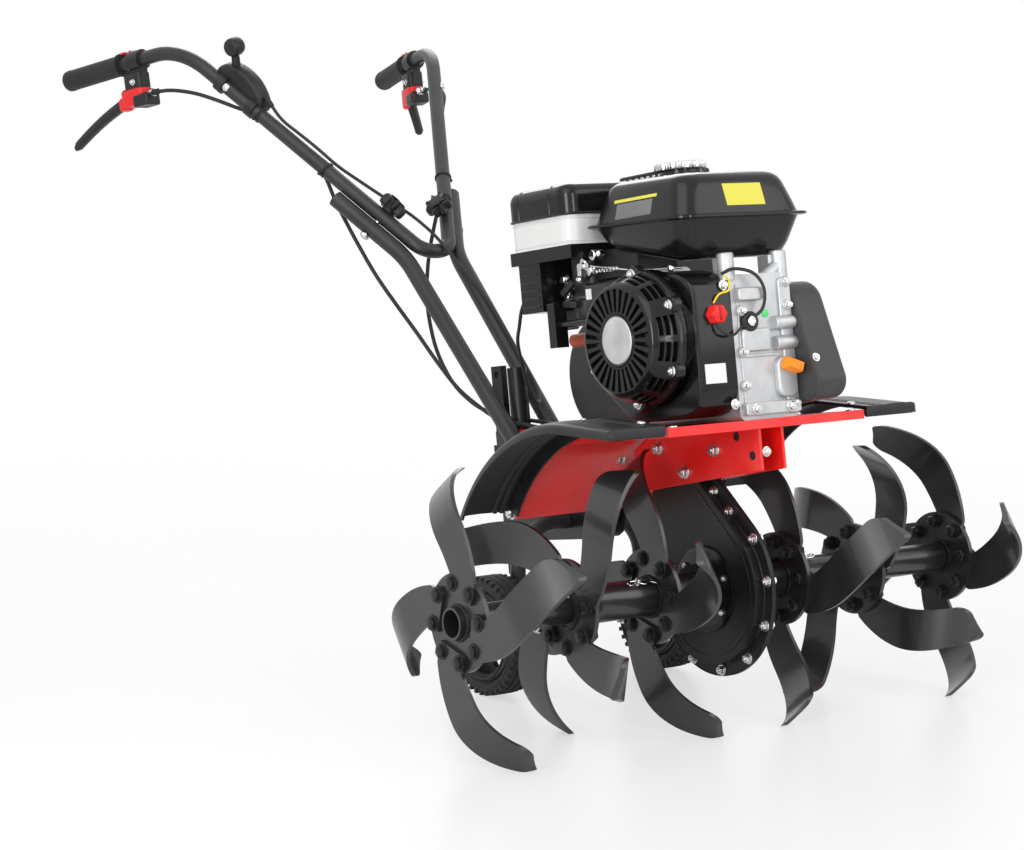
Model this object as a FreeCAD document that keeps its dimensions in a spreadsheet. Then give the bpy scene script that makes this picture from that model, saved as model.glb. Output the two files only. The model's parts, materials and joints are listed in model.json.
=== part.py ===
"""Walk-behind rotary tiller, built as a parametric document of separate sub-parts (millimetres).

Two frames are used.  The machine frame has its origin on the tine axis, +X forward, +Y left and
+Z up, square to the engine deck.  The row frame stands on the floor: the whole machine leans back
about the tine axis until its transport wheels touch the floor that the tines stand on.
"""
import FreeCAD, Part
import Sketcher
import math
import os
import re

from FreeCAD import Placement, Rotation, Vector

# Driving sizes, in millimetres and degrees, one named value each.
SIZES = {
    # tine rotor
    "tip_radius": 198.6, "tip_half_step": 22.5, "tine_sweep": 36, "tine_root_half": 26, "tine_plate": 5,
    "tine_back_radius": 137, "tine_back_angle": 13, "tine_inside_radius": 138, "tine_inside_angle": 42,
    "tine_heel_radius": 179, "tine_heel_angle": 49, "tine_bend_start": 100, "tine_bend_radius": 98,
    "tine_bend_heading": 49, "tine_root": 34, "tine_tip_round": 11, "hub_radius": 63, "hub_plate": 6,
    "outer_hub": 411, "middle_hub": 245, "inner_hub": 110,
    "hub_tube_radius": 25, "sleeve_step": 4.5, "rotor_bore": 17.5, "socket_depth": 100, "socket_step": 2.5,
    "tube_overhang": 14, "shaft_radius": 17.3, "shaft_reach": 150, "shaft_slack": 0.05,
    # chain case
    "case_radius": 118, "case_flange": 3, "case_depth": 14, "case_rim": 17, "case_top_x": -62,
    "case_top_z": 162, "case_top_radius": 50, "boss_radius": 34, "boss_length": 22, "run_gap": 5,
    # chassis
    "deck_rear": -75, "deck_front": 150, "deck_half": 165, "deck_top": 218, "deck_plate": 4,
    "deck_bow": 12, "deck_lip": 12, "guard_radius": 234, "guard_plate": 3, "guard_end_angle": 151.5,
    "guard_half": 170, "plate_wall": 4, "plate_front": 140, "plate_rear": -124,
    "plate_front_low": 152, "plate_rear_low": 131, "fender_outer": 253, "fender_wall": 4, "fender_lip": 10,
    "fender_crown": 14, "fender_rise": 14, "fender_tab_rear": 30, "guard_tab": 30, "seat_gap": 0.3,
    # rear frame, spur and transport wheels
    "frame_inner": 20, "frame_rear": -440, "frame_top": 230, "frame_low": 70,
    "post_radius": 14, "post_x": -412, "post_top": 320, "post_low": 40,
    "spur_depth": 25, "spur_width": 10, "spur_top": 325, "spur_low": 20, "spur_hole_radius": 5,
    "socket_wall": 4, "socket_low": 150, "socket_height": 60,
    "wheel_x": -312, "wheel_z": -50, "wheel_radius": 85, "tyre_width": 46, "wheel_half_track": 150,
    "bow_radius": 11, "bow_half": 108, "bow_x": -290, "bow_top": 97, "bow_bend": 62, "axle_radius": 8,
    "axle_cap": 8, "axle_slack": 0.05, "rim_radius": 62, "rim_wall": 9, "spoke_wall": 8, "window_radius": 13,
    "wheel_hub_radius": 18, "wheel_hub_half": 24, "spoke_count": 5,
    # handlebar
    "tube_radius": 12.5, "tube_wall": 2.5, "base_gap": 0.5, "handle_low_x": -341, "handle_low_z": 169,
    "arm_low_x": -592, "arm_low_y": 23.5, "arm_low_z": 508,
    "arm_top_x": -902, "arm_top_y": 234, "arm_top_z": 864,
    "grip_end_x": -1155, "grip_end_y": 300, "grip_end_z": 850, "upper_radius": 11, "lower_bend_at": 14,
    "lower_top_at": 160, "lower_bend": 120, "clamp_turn": 40, "clamp_gap": 1, "clamp_at": 85,
    "heel_half": 23.5, "heel_bend": 33, "grip_bend": 125,
    "bolt_radius": 4, "bolt_slack": 0.3, "knob_radius": 22, "knob_height": 22, "grip_radius": 17,
    "grip_length": 128, "grip_slack": 0.1, "lever_gap": 22, "lever_clamp_length": 26, "lever_clamp_wall": 5,
    "lever_width": 14, "lever_drop": 40, "lever_head": 26, "lever_radius": 7, "lever_end_x": -1176,
    "left_lever_end_x": -1040,
    "lever_end_y": 290, "lever_end_z": 752, "throttle_at": 385, "throttle_width": 24, "throttle_radius": 32,
    "throttle_reach": 66, "throttle_rise": 42, "clutch_cable_radius": 3,
    "throttle_cable_radius": 2.5, "cable_ferrule": 18, "throttle_ball": 12, "throttle_stem": 4.5,
    # engine
    "crank_x": 55, "crank_z": 334, "block_front": 145, "block_rear": -45, "block_right": -52,
    "block_left": 46, "block_top": 405, "cylinder_rear": -160, "cylinder_low": 300, "cylinder_top": 424,
    "housing_right": -130, "housing_top": 372, "recoil_face": -172, "recoil_radius": 70,
    "starter_reach": 96, "starter_y": -119, "starter_z": 366, "pull_depth": 16,
    "cleaner_rear": -212, "cleaner_front": -74,
    "cleaner_right": -135, "cleaner_left": 20, "cleaner_low": 452, "band_height": 40,
    "cleaner_top": 552, "cleaner_round": 16, "muffler_left": 120, "muffler_drop": 22, "muffler_top": 556,
    "cover_low_x": 160, "cover_low_z": 261, "cover_low_radius": 24,
    "cover_high_x": 118, "cover_high_z": 360, "cover_high_radius": 33,
    "cover_rear_x": -262, "cover_rear_z": 296, "cover_rear_radius": 84.5,
    "cover_left": 104, "cover_round": 12,
    "tank_right": -112, "tank_left": 96, "tank_rear": -64, "tank_front": 138, "tank_low": 428,
    "tank_seam": 482, "tank_top": 534, "tank_flange": 8, "cap_radius": 30, "cap_x": 3, "cap_top": 558,
    "bracket_depth": 34, "bracket_width": 18, "tank_tilt": 2, "tank_rear_rise": 26,
    "tank_corner": 34, "tank_round": 22,
}


def make_sheet(document, sizes):
    """Write every driving size into the spreadsheet as text with its alias."""
    sheet = document.addObject("Spreadsheet::Sheet", "Sizes")
    for row, (name, value) in enumerate(sizes.items(), start=1):
        sheet.set(f"A{row}", name)
        sheet.set(f"B{row}", str(value))
        sheet.setAlias(f"B{row}", name)
    document.recompute()
    return sheet


doc = FreeCAD.newDocument("rotary_tiller")
sheet = make_sheet(doc, SIZES)
WORD = re.compile(r"[a-z][a-z_]*")
nodes = []


def formula(text):
    """Point every size named in a formula at its cell in the sheet."""
    return WORD.sub(lambda word: f"Sizes.{word.group()}" if word.group() in SIZES else word.group(),
                    str(text))


def value(text):
    """Work out a formula on the sheet's sizes as a number."""
    return float(sheet.evalExpression(formula(text)))


def bind(item, **sizes):
    """Bind properties of a document object to formulas on the sheet."""
    for name, text in sizes.items():
        item.setExpression(name.replace("__", "."), formula(text))


def point(x, y, z):
    """Make a vector from three formulas."""
    return Vector(value(x), value(y), value(z))


# ---------------------------------------------------------------- primitives and booleans

def box(name, low, high):
    """Make a box between two corners given as formulas."""
    item = doc.addObject("Part::Box", name)
    spans = [f"({top}) - ({bottom})" for bottom, top in zip(low, high)]
    bind(item, Length=spans[0], Width=spans[1], Height=spans[2], Placement__Base__x=low[0],
         Placement__Base__y=low[1], Placement__Base__z=low[2])
    return item


AXIS_TURN = {"z": Rotation(), "y": Rotation(Vector(1, 0, 0), -90), "x": Rotation(Vector(0, 1, 0), 90)}


def cylinder(name, radius, length, start, axis="y"):
    """Make a cylinder that runs from start along +X, +Y or +Z."""
    item = doc.addObject("Part::Cylinder", name)
    item.Placement = Placement(Vector(), AXIS_TURN[axis])
    bind(item, Radius=radius, Height=length, Placement__Base__x=start[0],
         Placement__Base__y=start[1], Placement__Base__z=start[2])
    return item


def fuse(name, parts):
    """Join several objects into one solid."""
    item = doc.addObject("Part::MultiFuse", name)
    item.Shapes = parts
    item.Refine = True
    return item


def cut(name, base, tools):
    """Take one or more tools away from a base."""
    item = doc.addObject("Part::Cut", name)
    item.Base = base
    item.Tool = tools[0] if len(tools) == 1 else fuse(name + "_tools", tools)
    item.Refine = True
    return item


def rounded(name, base, radius, pick):
    """Fillet the edges of a base that a test on the edge picks."""
    doc.recompute()
    item = doc.addObject("Part::Fillet", name)
    item.Base = base
    edges = base.Shape.Edges
    item.Edges = [(index, value(radius), value(radius)) for index, edge in enumerate(edges, 1) if pick(edge)]
    return item


def along(direction):
    """Make a test that picks straight edges along X, Y or Z."""
    axis = {"x": Vector(1, 0, 0), "y": Vector(0, 1, 0), "z": Vector(0, 0, 1)}[direction]

    def pick(edge):
        straight = edge.Curve.TypeId == "Part::GeomLine"
        return straight and abs(edge.tangentAt(edge.FirstParameter).dot(axis)) > 0.999
    return pick


def feature(name, shape):
    """Keep a shape made in code as a document object."""
    item = doc.addObject("Part::Feature", name)
    item.Shape = shape
    return item


# ---------------------------------------------------------------- sketched plates

PLANES = {"xy": "XY_Plane", "xz": "XZ_Plane", "yz": "YZ_Plane"}


def sketch_on(body, plane, corners):
    """Draw a closed outline of straight edges with every corner's place bound to the sheet."""
    origin = [item for item in body.Origin.OriginFeatures if item.Role == PLANES[plane]][0]
    sketch = body.newObject("Sketcher::SketchObject", body.Name + "_outline")
    sketch.AttachmentSupport = [(origin, "")]
    sketch.MapMode = "FlatFace"
    spots = [Vector(value(first), value(second), 0) for first, second in corners]
    for start, end in zip(spots, spots[1:] + spots[:1]):
        sketch.addGeometry(Part.LineSegment(start, end), False)
    count = len(spots)
    for index in range(count):
        sketch.addConstraint(Sketcher.Constraint("Coincident", index, 2, (index + 1) % count, 1))
    for index, (first, second) in enumerate(corners):
        for kind, text, number in (("DistanceX", first, spots[index].x),
                                   ("DistanceY", second, spots[index].y)):
            place = sketch.addConstraint(Sketcher.Constraint(kind, -1, 1, index, 1, number))
            sketch.setExpression(f"Constraints[{place}]", formula(text))
    return sketch


def plate(name, plane, corners, thickness, offset, reverse=False):
    """Pad an outline by a thickness, then move it along the plane's normal by an offset."""
    body = doc.addObject("PartDesign::Body", name)
    sketch = sketch_on(body, plane, corners)
    pad = body.newObject("PartDesign::Pad", name + "_pad")
    pad.Profile = sketch
    pad.setExpression("Length", formula(thickness))
    pad.Reversed = reverse
    sketch.Visibility = False
    axis = {"xy": "z", "xz": "y", "yz": "x"}[plane]
    body.setExpression(f"Placement.Base.{axis}", formula(offset))
    return body


# ---------------------------------------------------------------- swept tubes

def tube_path(points, bends):
    """Run straight lines between points with a tangent arc of a given radius at each inner one."""
    edges, start = [], points[0]
    for index in range(1, len(points) - 1):
        before = (points[index - 1] - points[index]).normalize()
        after = (points[index + 1] - points[index]).normalize()
        half = before.getAngle(after) / 2
        radius = bends[index - 1]
        reach = radius / math.tan(half)
        first, last = points[index] + before * reach, points[index] + after * reach
        inward = (before + after).normalize()
        middle = points[index] + inward * (radius / math.sin(half) - radius)
        edges.append(Part.LineSegment(start, first).toShape())
        edges.append(Part.Arc(first, middle, last).toShape())
        start = last
    edges.append(Part.LineSegment(start, points[-1]).toShape())
    return Part.Wire(edges)


def swept(points, bends, radius, bore=0):
    """Sweep a round section along a path of runs and arcs."""
    path = tube_path(points, bends)
    heading = (points[1] - points[0]).normalize()

    def sweep(size):
        ring = Part.Wire([Part.Circle(points[0], heading, size).toShape()])
        return path.makePipeShell([ring], True, False)
    solid = sweep(radius)
    return solid.cut(sweep(bore)) if bore else solid


def mirrored(shape):
    """Copy a shape to the other side of the machine's middle plane."""
    return shape.mirror(Vector(), Vector(0, 1, 0))


# ---------------------------------------------------------------- tine rotor

def belt_outline(circles):
    """Close the outline round circles in the XZ plane, named counter-clockwise, with their outer tangents."""
    pairs = list(zip(circles, circles[1:] + circles[:1]))
    normals = []
    for (first, first_radius), (second, second_radius) in pairs:
        line = second - first
        normals.append(math.atan2(line.z, line.x) - math.acos((first_radius - second_radius) / line.Length))

    def rim(circle, angle):
        return circle[0] + Vector(circle[1] * math.cos(angle), 0, circle[1] * math.sin(angle))
    edges = []
    for index, (first, second) in enumerate(pairs):
        start, stop = normals[index], normals[(index + 1) % len(pairs)]
        turn = (stop - start) % (2 * math.pi)
        edges.append(Part.LineSegment(rim(first, start), rim(second, start)).toShape())
        edges.append(Part.Arc(rim(second, start), rim(second, start + turn / 2), rim(second, stop)).toShape())
    return Part.Wire(edges)


def slab(wire, start, end):
    """Extrude an outline in the XZ plane between two places along Y."""
    face = Part.Face(wire)
    face.translate(Vector(0, start, 0))
    return face.extrude(Vector(0, end - start, 0))


def rod(start, end, radius):
    """Make a round bar between two points."""
    return Part.makeCylinder(radius, (end - start).Length, start, end - start)


def polar(radius, degrees):
    """Place a point in the XZ plane by radius and angle about the tine axis."""
    return Vector(radius * math.cos(math.radians(degrees)), 0, radius * math.sin(math.radians(degrees)))


def tine_blank():
    """Cut a sickle tine whose root points along +X and whose tip bends towards +Y."""
    tip, half, thick = value("tip_radius"), value("tine_root_half"), value("tine_plate")
    root, corner = value("tine_root"), polar(tip, value("tine_sweep"))
    heel = polar(value("tine_heel_radius"), value("tine_heel_angle"))
    back = polar(value("tine_back_radius"), value("tine_back_angle"))
    inside = polar(value("tine_inside_radius"), value("tine_inside_angle"))
    shoulder = [Vector(value("hub_radius"), 0, -half), Vector(value("hub_radius") - 6, 0, half)]
    outline = Part.Wire([
        Part.LineSegment(Vector(root, 0, -half), shoulder[0]).toShape(),
        Part.Arc(shoulder[0], back, corner).toShape(), Part.LineSegment(corner, heel).toShape(),
        Part.Arc(heel, inside, shoulder[1]).toShape(),
        Part.LineSegment(shoulder[1], Vector(root, 0, half)).toShape(),
        Part.LineSegment(Vector(root, 0, half), Vector(root, 0, -half)).toShape()])
    inner = value("tine_bend_radius")
    sickle = slab(outline, -1, inner + 1)
    tips = [edge for edge in sickle.Edges if along("y")(edge)
            and min(edge.Vertexes[0].Point.distanceToPoint(Vector(spot.x, edge.Vertexes[0].Y, spot.z))
                    for spot in (corner, heel)) < 0.01]
    sickle = sickle.makeFillet(value("tine_tip_round"), tips)

    start, outer, turn = value("tine_bend_start"), inner + thick, math.radians(85)

    def bend(size, share):
        return Vector(start + size * math.sin(turn * share), outer - size * math.cos(turn * share), 0)
    strip = Part.Wire([
        Part.LineSegment(Vector(0, 0, 0), Vector(start, 0, 0)).toShape(),
        Part.Arc(bend(outer, 0), bend(outer, 0.5), bend(outer, 1)).toShape(),
        Part.LineSegment(bend(outer, 1), bend(inner, 1)).toShape(),
        Part.Arc(bend(inner, 1), bend(inner, 0.5), bend(inner, 0)).toShape(),
        Part.LineSegment(bend(inner, 0), Vector(0, thick, 0)).toShape(),
        Part.LineSegment(Vector(0, thick, 0), Vector(0, 0, 0)).toShape()])
    sheet_metal = Part.Face(strip).extrude(Vector(0, 0, 2 * tip))
    sheet_metal.translate(Vector(0, 0, -tip))
    sheet_metal.rotate(Vector(), Vector(0, 1, 0), -value("tine_bend_heading"))
    return sickle.common(sheet_metal)


TINE = tine_blank()

# ---------------------------------------------------------------- stance

def axis_height():
    """Find how far the lowest tine tip reaches below the tine axis."""
    blade = TINE.copy()
    blade.rotate(Vector(), Vector(0, 1, 0), 90 + value("tine_sweep - tip_half_step"))
    return -blade.optimalBoundingBox(False, False).ZMin


AXIS_HEIGHT = axis_height()


def lean_angle():
    """Work out the backward lean that puts wheels and tine tips on one floor, in degrees."""
    reach = math.hypot(value("wheel_x"), value("wheel_z"))
    rise = value("wheel_radius") - AXIS_HEIGHT
    return math.degrees(-math.pi - math.asin(rise / reach) - math.atan2(value("wheel_z"), value("wheel_x")))


LEAN = lean_angle()
STANCE = Placement(Vector(0, 0, AXIS_HEIGHT), Rotation(Vector(0, 1, 0), -LEAN))
ROTOR = Placement(Vector(0, 0, AXIS_HEIGHT), Rotation())


def keep(item, label, place=STANCE):
    """Name a finished sub-part, stand it in the row frame and list it for export."""
    if any("Placement" in path for path, _ in item.ExpressionEngine):
        source, item = item, doc.addObject("Part::Refine", label)
        source.Label = label + "_blank"
        item.Source = source
    item.Label = label
    item.Placement = place * item.Placement
    nodes.append(item)
    return item


QUARTERS = ("front", "upper", "rear", "lower")


def tine_set(label, side, hub, step, inward):
    """Fit four tines to one hub: side is -1 right or 1 left, step turns the star, inward names the
    quarters whose tips bend towards the chain case."""
    seat = value(f"{hub} + hub_plate / 2")
    blades = []
    for index, quarter in enumerate(QUARTERS):
        blade = TINE.copy()
        toward_case = quarter in inward
        if toward_case:
            blade = blade.mirror(Vector(0, value("tine_plate") / 2, 0), Vector(0, 1, 0))
        blade.rotate(Vector(), Vector(0, 1, 0), -(step + 90 * index - value("tine_sweep")))
        blade.translate(Vector(0, seat, 0))
        blades.append(mirrored(blade) if side < 0 else blade)
    keep(feature(label, Part.makeCompound(blades)), label, ROTOR)


def hub_sleeve(side):
    """Turn one side's stepped sleeve, bored for the shaft and for an extension."""
    inner = value("case_flange + case_depth + boss_length + run_gap")
    middle, end = value("middle_hub + hub_plate / 2"), value("outer_hub + tube_overhang")
    thick = value("hub_tube_radius")
    solid = rod(Vector(0, inner, 0), Vector(0, middle, 0), thick)
    solid = solid.fuse(rod(Vector(0, middle, 0), Vector(0, end, 0), thick - value("sleeve_step")))
    bores = [(inner, value("shaft_reach"), value("shaft_radius + shaft_slack")),
             (value("shaft_reach"), end - value("socket_depth"), value("rotor_bore - socket_step")),
             (end - value("socket_depth"), end, value("rotor_bore"))]
    for start, stop, radius in bores:
        solid = solid.cut(rod(Vector(0, start, 0), Vector(0, stop, 0), radius))
    return mirrored(solid) if side < 0 else solid


def hub_plates(side):
    """Cut one side's three round hub plates, each bored for the sleeve that it is welded to."""
    rings = []
    for hub, radius in (("inner_hub", "hub_tube_radius"), ("middle_hub", "hub_tube_radius"),
                        ("outer_hub", "hub_tube_radius - sleeve_step")):
        start, stop = (Vector(0, value(f"{hub} {sign} hub_plate / 2"), 0) for sign in "-+")
        rings.append(rod(start, stop, value("hub_radius")).cut(rod(start, stop, value(radius))))
    solid = Part.makeCompound(rings)
    return mirrored(solid) if side < 0 else solid


for side, name in ((-1, "right"), (1, "left")):
    keep(feature(f"hub_sleeve_{name}", hub_sleeve(side)), f"hub_sleeve_{name}", ROTOR)
    keep(feature(f"hub_plates_{name}", hub_plates(side)), f"hub_plates_{name}", ROTOR)
    tine_set(f"tines_outer_{name}", side, "outer_hub", value("tip_half_step"), QUARTERS)
    tine_set(f"tines_middle_{name}", side, "middle_hub", -value("tip_half_step"), ("upper", "lower"))
    tine_set(f"tines_inner_{name}", side, "inner_hub", value("tip_half_step"), ("upper", "lower"))
keep(cylinder("tine_shaft", "shaft_radius", "2 * shaft_reach", ("0", "-shaft_reach", "0")), "tine_shaft",
     ROTOR)

# ---------------------------------------------------------------- chain case

def case_half(side):
    """Build one half of the chain case: flange, raised shell and bearing boss, bored for the shaft."""
    axis, top = Vector(), point("case_top_x", 0, "case_top_z")
    rim, depth = value("case_rim"), value("case_flange + case_depth")

    def outline(inset):
        return belt_outline([(axis, value("case_radius") - inset), (top, value("case_top_radius") - inset)])
    flange, shell = slab(outline(0), 0, value("case_flange")), slab(outline(rim), 0, depth)
    boss = rod(Vector(), Vector(0, depth + value("boss_length"), 0), value("boss_radius"))
    solid = flange.fuse([shell, boss])
    solid = solid.cut(rod(Vector(0, -1, 0), Vector(0, 2 * depth + value("boss_length"), 0),
                          value("shaft_radius + shaft_slack")))
    return mirrored(solid) if side < 0 else solid


for side, name in ((-1, "right"), (1, "left")):
    keep(feature(f"chain_case_{name}", case_half(side)), f"chain_case_{name}")

# ---------------------------------------------------------------- chassis

deck_outline = [("deck_rear", "-deck_half"), ("deck_front - deck_bow", "-deck_half"),
                ("deck_front", "-deck_half / 2"),
                ("deck_front", "deck_half / 2"), ("deck_front - deck_bow", "deck_half"),
                ("deck_rear", "deck_half")]
deck_inset = [("deck_rear - 1", "-deck_half + deck_plate"),
              ("deck_front - deck_bow - deck_plate", "-deck_half + deck_plate"),
              ("deck_front - deck_plate", "-deck_half / 2"), ("deck_front - deck_plate", "deck_half / 2"),
              ("deck_front - deck_bow - deck_plate", "deck_half - deck_plate"),
              ("deck_rear - 1", "deck_half - deck_plate")]
deck = cut("deck_pan", plate("deck_blank", "xy", deck_outline, "deck_lip", "deck_top - deck_lip"),
           [plate("deck_under", "xy", deck_inset, "deck_lip - deck_plate", "deck_top - deck_lip")])
keep(deck, "engine_deck")

for side, name in ((-1, "right"), (1, "left")):
    outline = [("plate_rear", "plate_rear_low"), ("plate_front", "plate_front_low"),
               ("plate_front", "deck_top - deck_plate"), ("deck_rear - 5", "deck_top - deck_plate"),
               ("plate_rear", "plate_rear_low + 57")]
    offset = "-case_flange - case_depth" if side < 0 else "case_flange + case_depth + plate_wall"
    keep(plate(f"side_plate_{name}", "xz", outline, "plate_wall", offset), f"side_plate_{name}")


def guard_sheet():
    """Bend the rear guard: a flat tab on the deck, then an arc about the tine axis and a turned lip."""
    outer, thick = value("guard_radius"), value("guard_plate")
    inner, end, top = outer - thick, value("guard_end_angle"), value("deck_top")
    start_in = Vector(-math.sqrt(inner ** 2 - top ** 2), 0, top)
    start_out = Vector(-math.sqrt(outer ** 2 - (top + thick) ** 2), 0, top + thick)
    tab = value("deck_rear + guard_tab")
    middle = (90 + end) / 2
    outline = Part.Wire([
        Part.LineSegment(Vector(tab, 0, top), start_in).toShape(),
        Part.Arc(start_in, polar(inner, middle), polar(inner, end)).toShape(),
        Part.LineSegment(polar(inner, end), polar(outer, end)).toShape(),
        Part.Arc(polar(outer, end), polar(outer, middle), start_out).toShape(),
        Part.LineSegment(start_out, Vector(tab, 0, top + thick)).toShape(),
        Part.LineSegment(Vector(tab, 0, top + thick), Vector(tab, 0, top)).toShape()])
    return slab(outline, -value("guard_half"), value("guard_half"))


keep(feature("rear_guard", guard_sheet()), "rear_guard")


def fender_sheet(side):
    """Bend one moulded fender: a flat front tab, a long arc rearward and a rim on its outer edge."""
    wall, lip = value("fender_wall"), value("fender_lip")
    top = value("deck_top + fender_wall")

    def outline(drop, trim):
        rear = polar(value("guard_radius") + value("fender_crown") - drop, value("guard_end_angle") - trim)
        middle = polar(value("guard_radius") + wall + 1.5 - drop, 122)
        crown = Vector(value("fender_tab_rear"), 0, top + value("fender_rise") - drop)
        front = Vector(value("deck_front - deck_bow") - trim, 0, top - drop)
        return rear, middle, crown, front
    upper, lower = outline(0, 0), outline(wall, 0)
    sheet_wire = Part.Wire([
        Part.Arc(upper[0], upper[1], upper[2]).toShape(), Part.LineSegment(upper[2], upper[3]).toShape(),
        Part.LineSegment(upper[3], lower[3]).toShape(), Part.LineSegment(lower[3], lower[2]).toShape(),
        Part.Arc(lower[2], lower[1], lower[0]).toShape(), Part.LineSegment(lower[0], upper[0]).toShape()])
    deep = outline(lip, 0)
    rim_wire = Part.Wire([
        Part.Arc(upper[0], upper[1], upper[2]).toShape(), Part.LineSegment(upper[2], upper[3]).toShape(),
        Part.LineSegment(upper[3], deep[3]).toShape(), Part.LineSegment(deep[3], deep[2]).toShape(),
        Part.Arc(deep[2], deep[1], deep[0]).toShape(), Part.LineSegment(deep[0], upper[0]).toShape()])
    solid = slab(sheet_wire, value("guard_half + seat_gap"), value("fender_outer"))
    solid = solid.fuse(slab(rim_wire, value("fender_outer - fender_wall"), value("fender_outer")))
    return mirrored(solid) if side < 0 else solid


for side, name in ((-1, "right"), (1, "left")):
    keep(feature(f"fender_{name}", fender_sheet(side)), f"fender_{name}")

# ---------------------------------------------------------------- rear frame, spur and transport wheels

WHEEL = point("wheel_x", 0, "wheel_z")
frame_arc = [(f"(guard_radius - 5) * cos({angle})", f"(guard_radius - 5) * sin({angle})")
             for angle in (110, 120, 130, 140, 150, 160)]
frame_outline = frame_arc + [("-guard_radius", "frame_low"), ("frame_rear", "frame_low"),
                             ("frame_rear", "frame_top"), ("post_x + 2 * post_radius", "frame_top"),
                             ("post_x + 5 * post_radius", "deck_top + 6"), ("deck_rear - 10", "deck_top + 6")]


def rear_frame():
    """Weld two cheeks and a rear web that carry the handle tubes, the post and the spur."""
    cheeks = [plate("cheek_right", "xz", frame_outline, "plate_wall", "-frame_inner"),
              plate("cheek_left", "xz", frame_outline, "plate_wall", "frame_inner + plate_wall")]
    web = box("frame_web", ("frame_rear - plate_wall", "-frame_inner - plate_wall", "frame_low"),
              ("frame_rear", "frame_inner + plate_wall", "frame_top"))
    floor = box("frame_floor", ("frame_rear", "-frame_inner", "frame_low"),
                ("post_x + 3 * post_radius", "frame_inner", "frame_low + plate_wall"))
    roof = box("frame_roof", ("frame_rear", "-frame_inner", "frame_top - plate_wall"),
               ("post_x + 2 * post_radius", "frame_inner", "frame_top"))
    clear = "2 * frame_inner + 4 * plate_wall"
    tools = [cylinder("guard_seat", "guard_radius + seat_gap", clear,
                      ("0", "-frame_inner - 2 * plate_wall", "0")),
             cylinder("bow_hole", "bow_radius + seat_gap", clear,
                      ("bow_x", "-frame_inner - 2 * plate_wall", "bow_top")),
             cylinder("post_hole", "post_radius + seat_gap", "frame_top - frame_low + 2",
                      ("post_x", "0", "frame_low - 1"), "z")]
    return cut("rear_frame_cut", fuse("rear_frame_weld", cheeks + [web, floor, roof]), tools)


keep(rear_frame(), "rear_frame")
keep(cylinder("wheel_post", "post_radius", "post_top - post_low", ("post_x", "0", "post_low"), "z"),
     "wheel_post")

spur_front = "frame_rear - plate_wall - seat_gap"
spur_bar = box("spur_bar", (f"{spur_front} - spur_depth", "-spur_width / 2", "spur_low"),
               (spur_front, "spur_width / 2", "spur_top"))
spur_hole = cylinder("spur_hole", "spur_hole_radius", "2 * spur_width",
                     (f"{spur_front} - spur_depth / 2", "-spur_width", "spur_top - spur_depth / 2"))
keep(cut("spur_drilled", spur_bar, [spur_hole]), "depth_spur")

socket = box("socket_block", (f"{spur_front} - spur_depth - socket_wall", "-spur_width / 2 - socket_wall",
                              "socket_low"),
             ("frame_rear - plate_wall", "spur_width / 2 + socket_wall", "socket_low + socket_height"))
socket_gap = box("socket_gap", (f"{spur_front} - spur_depth - seat_gap", "-spur_width / 2 - seat_gap",
                                "socket_low - 1"),
                 ("frame_rear - plate_wall + 1", "spur_width / 2 + seat_gap",
                  "socket_low + socket_height + 1"))
keep(cut("socket_strap", socket, [socket_gap]), "spur_socket")


def wheel_bow():
    """Bend the inverted-U tube that carries both transport wheels on stub axles."""
    half, drop = value("bow_half"), Vector(value("bow_x"), 0, value("bow_top"))
    right, left, foot = Vector(0, -half, 0), Vector(0, half, 0), WHEEL - Vector(0, 0,
                                                                                value("1.5 * axle_radius"))
    bow = swept([foot + right, drop + right, drop + left, foot + left], [value("bow_bend")] * 2,
                value("bow_radius"))
    reach = value("wheel_half_track + wheel_hub_half + axle_cap")
    for direction in (-1, 1):
        bow = bow.fuse(rod(WHEEL + Vector(0, direction * half, 0),
                           WHEEL + Vector(0, direction * reach, 0), value("axle_radius")))
    return bow


keep(feature("wheel_bow", wheel_bow()), "wheel_bow")


def tyre_ring():
    """Turn a tyre with rounded shoulders about its axle, centred on the origin."""
    rim, outer, half = value("rim_radius"), value("wheel_radius"), value("tyre_width") / 2
    section = Part.Wire([
        Part.LineSegment(Vector(rim, -half + 5, 0), Vector(rim, half - 5, 0)).toShape(),
        Part.LineSegment(Vector(rim, half - 5, 0), Vector(rim + 5, half, 0)).toShape(),
        Part.Arc(Vector(rim + 5, half, 0), Vector(outer - 4, half - 6, 0),
                 Vector(outer, half - 14, 0)).toShape(),
        Part.LineSegment(Vector(outer, half - 14, 0), Vector(outer, 14 - half, 0)).toShape(),
        Part.Arc(Vector(outer, 14 - half, 0), Vector(outer - 4, 6 - half, 0),
                 Vector(rim + 5, -half, 0)).toShape(),
        Part.LineSegment(Vector(rim + 5, -half, 0), Vector(rim, -half + 5, 0)).toShape()])
    return Part.Face(section).revolve(Vector(), Vector(0, 1, 0), 360)


def spoked_rim():
    """Mould a rim: a ring, a hub bored for its axle and a thin spoked web between them."""
    ring_half, hub_half = value("tyre_width") / 2 - 5, value("wheel_hub_half")
    rim, hub, bore = value("rim_radius"), value("wheel_hub_radius"), value("axle_radius + axle_slack")

    def disc(radius, half):
        return rod(Vector(0, -half, 0), Vector(0, half, 0), radius)
    wall, web = value("rim_wall"), value("spoke_wall")
    solid = disc(rim, ring_half).cut(disc(rim - wall, ring_half + 1)).fuse(disc(hub, hub_half))
    spokes = disc(rim - wall / 2, web / 2)
    count = int(value("spoke_count"))
    window = (rim - wall + hub) / 2
    for index in range(count):
        hole = disc(value("window_radius"), web)
        hole.translate(polar(window, 360 * index / count))
        spokes = spokes.cut(hole)
    return solid.fuse(spokes).cut(disc(bore, hub_half + 1))


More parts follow.
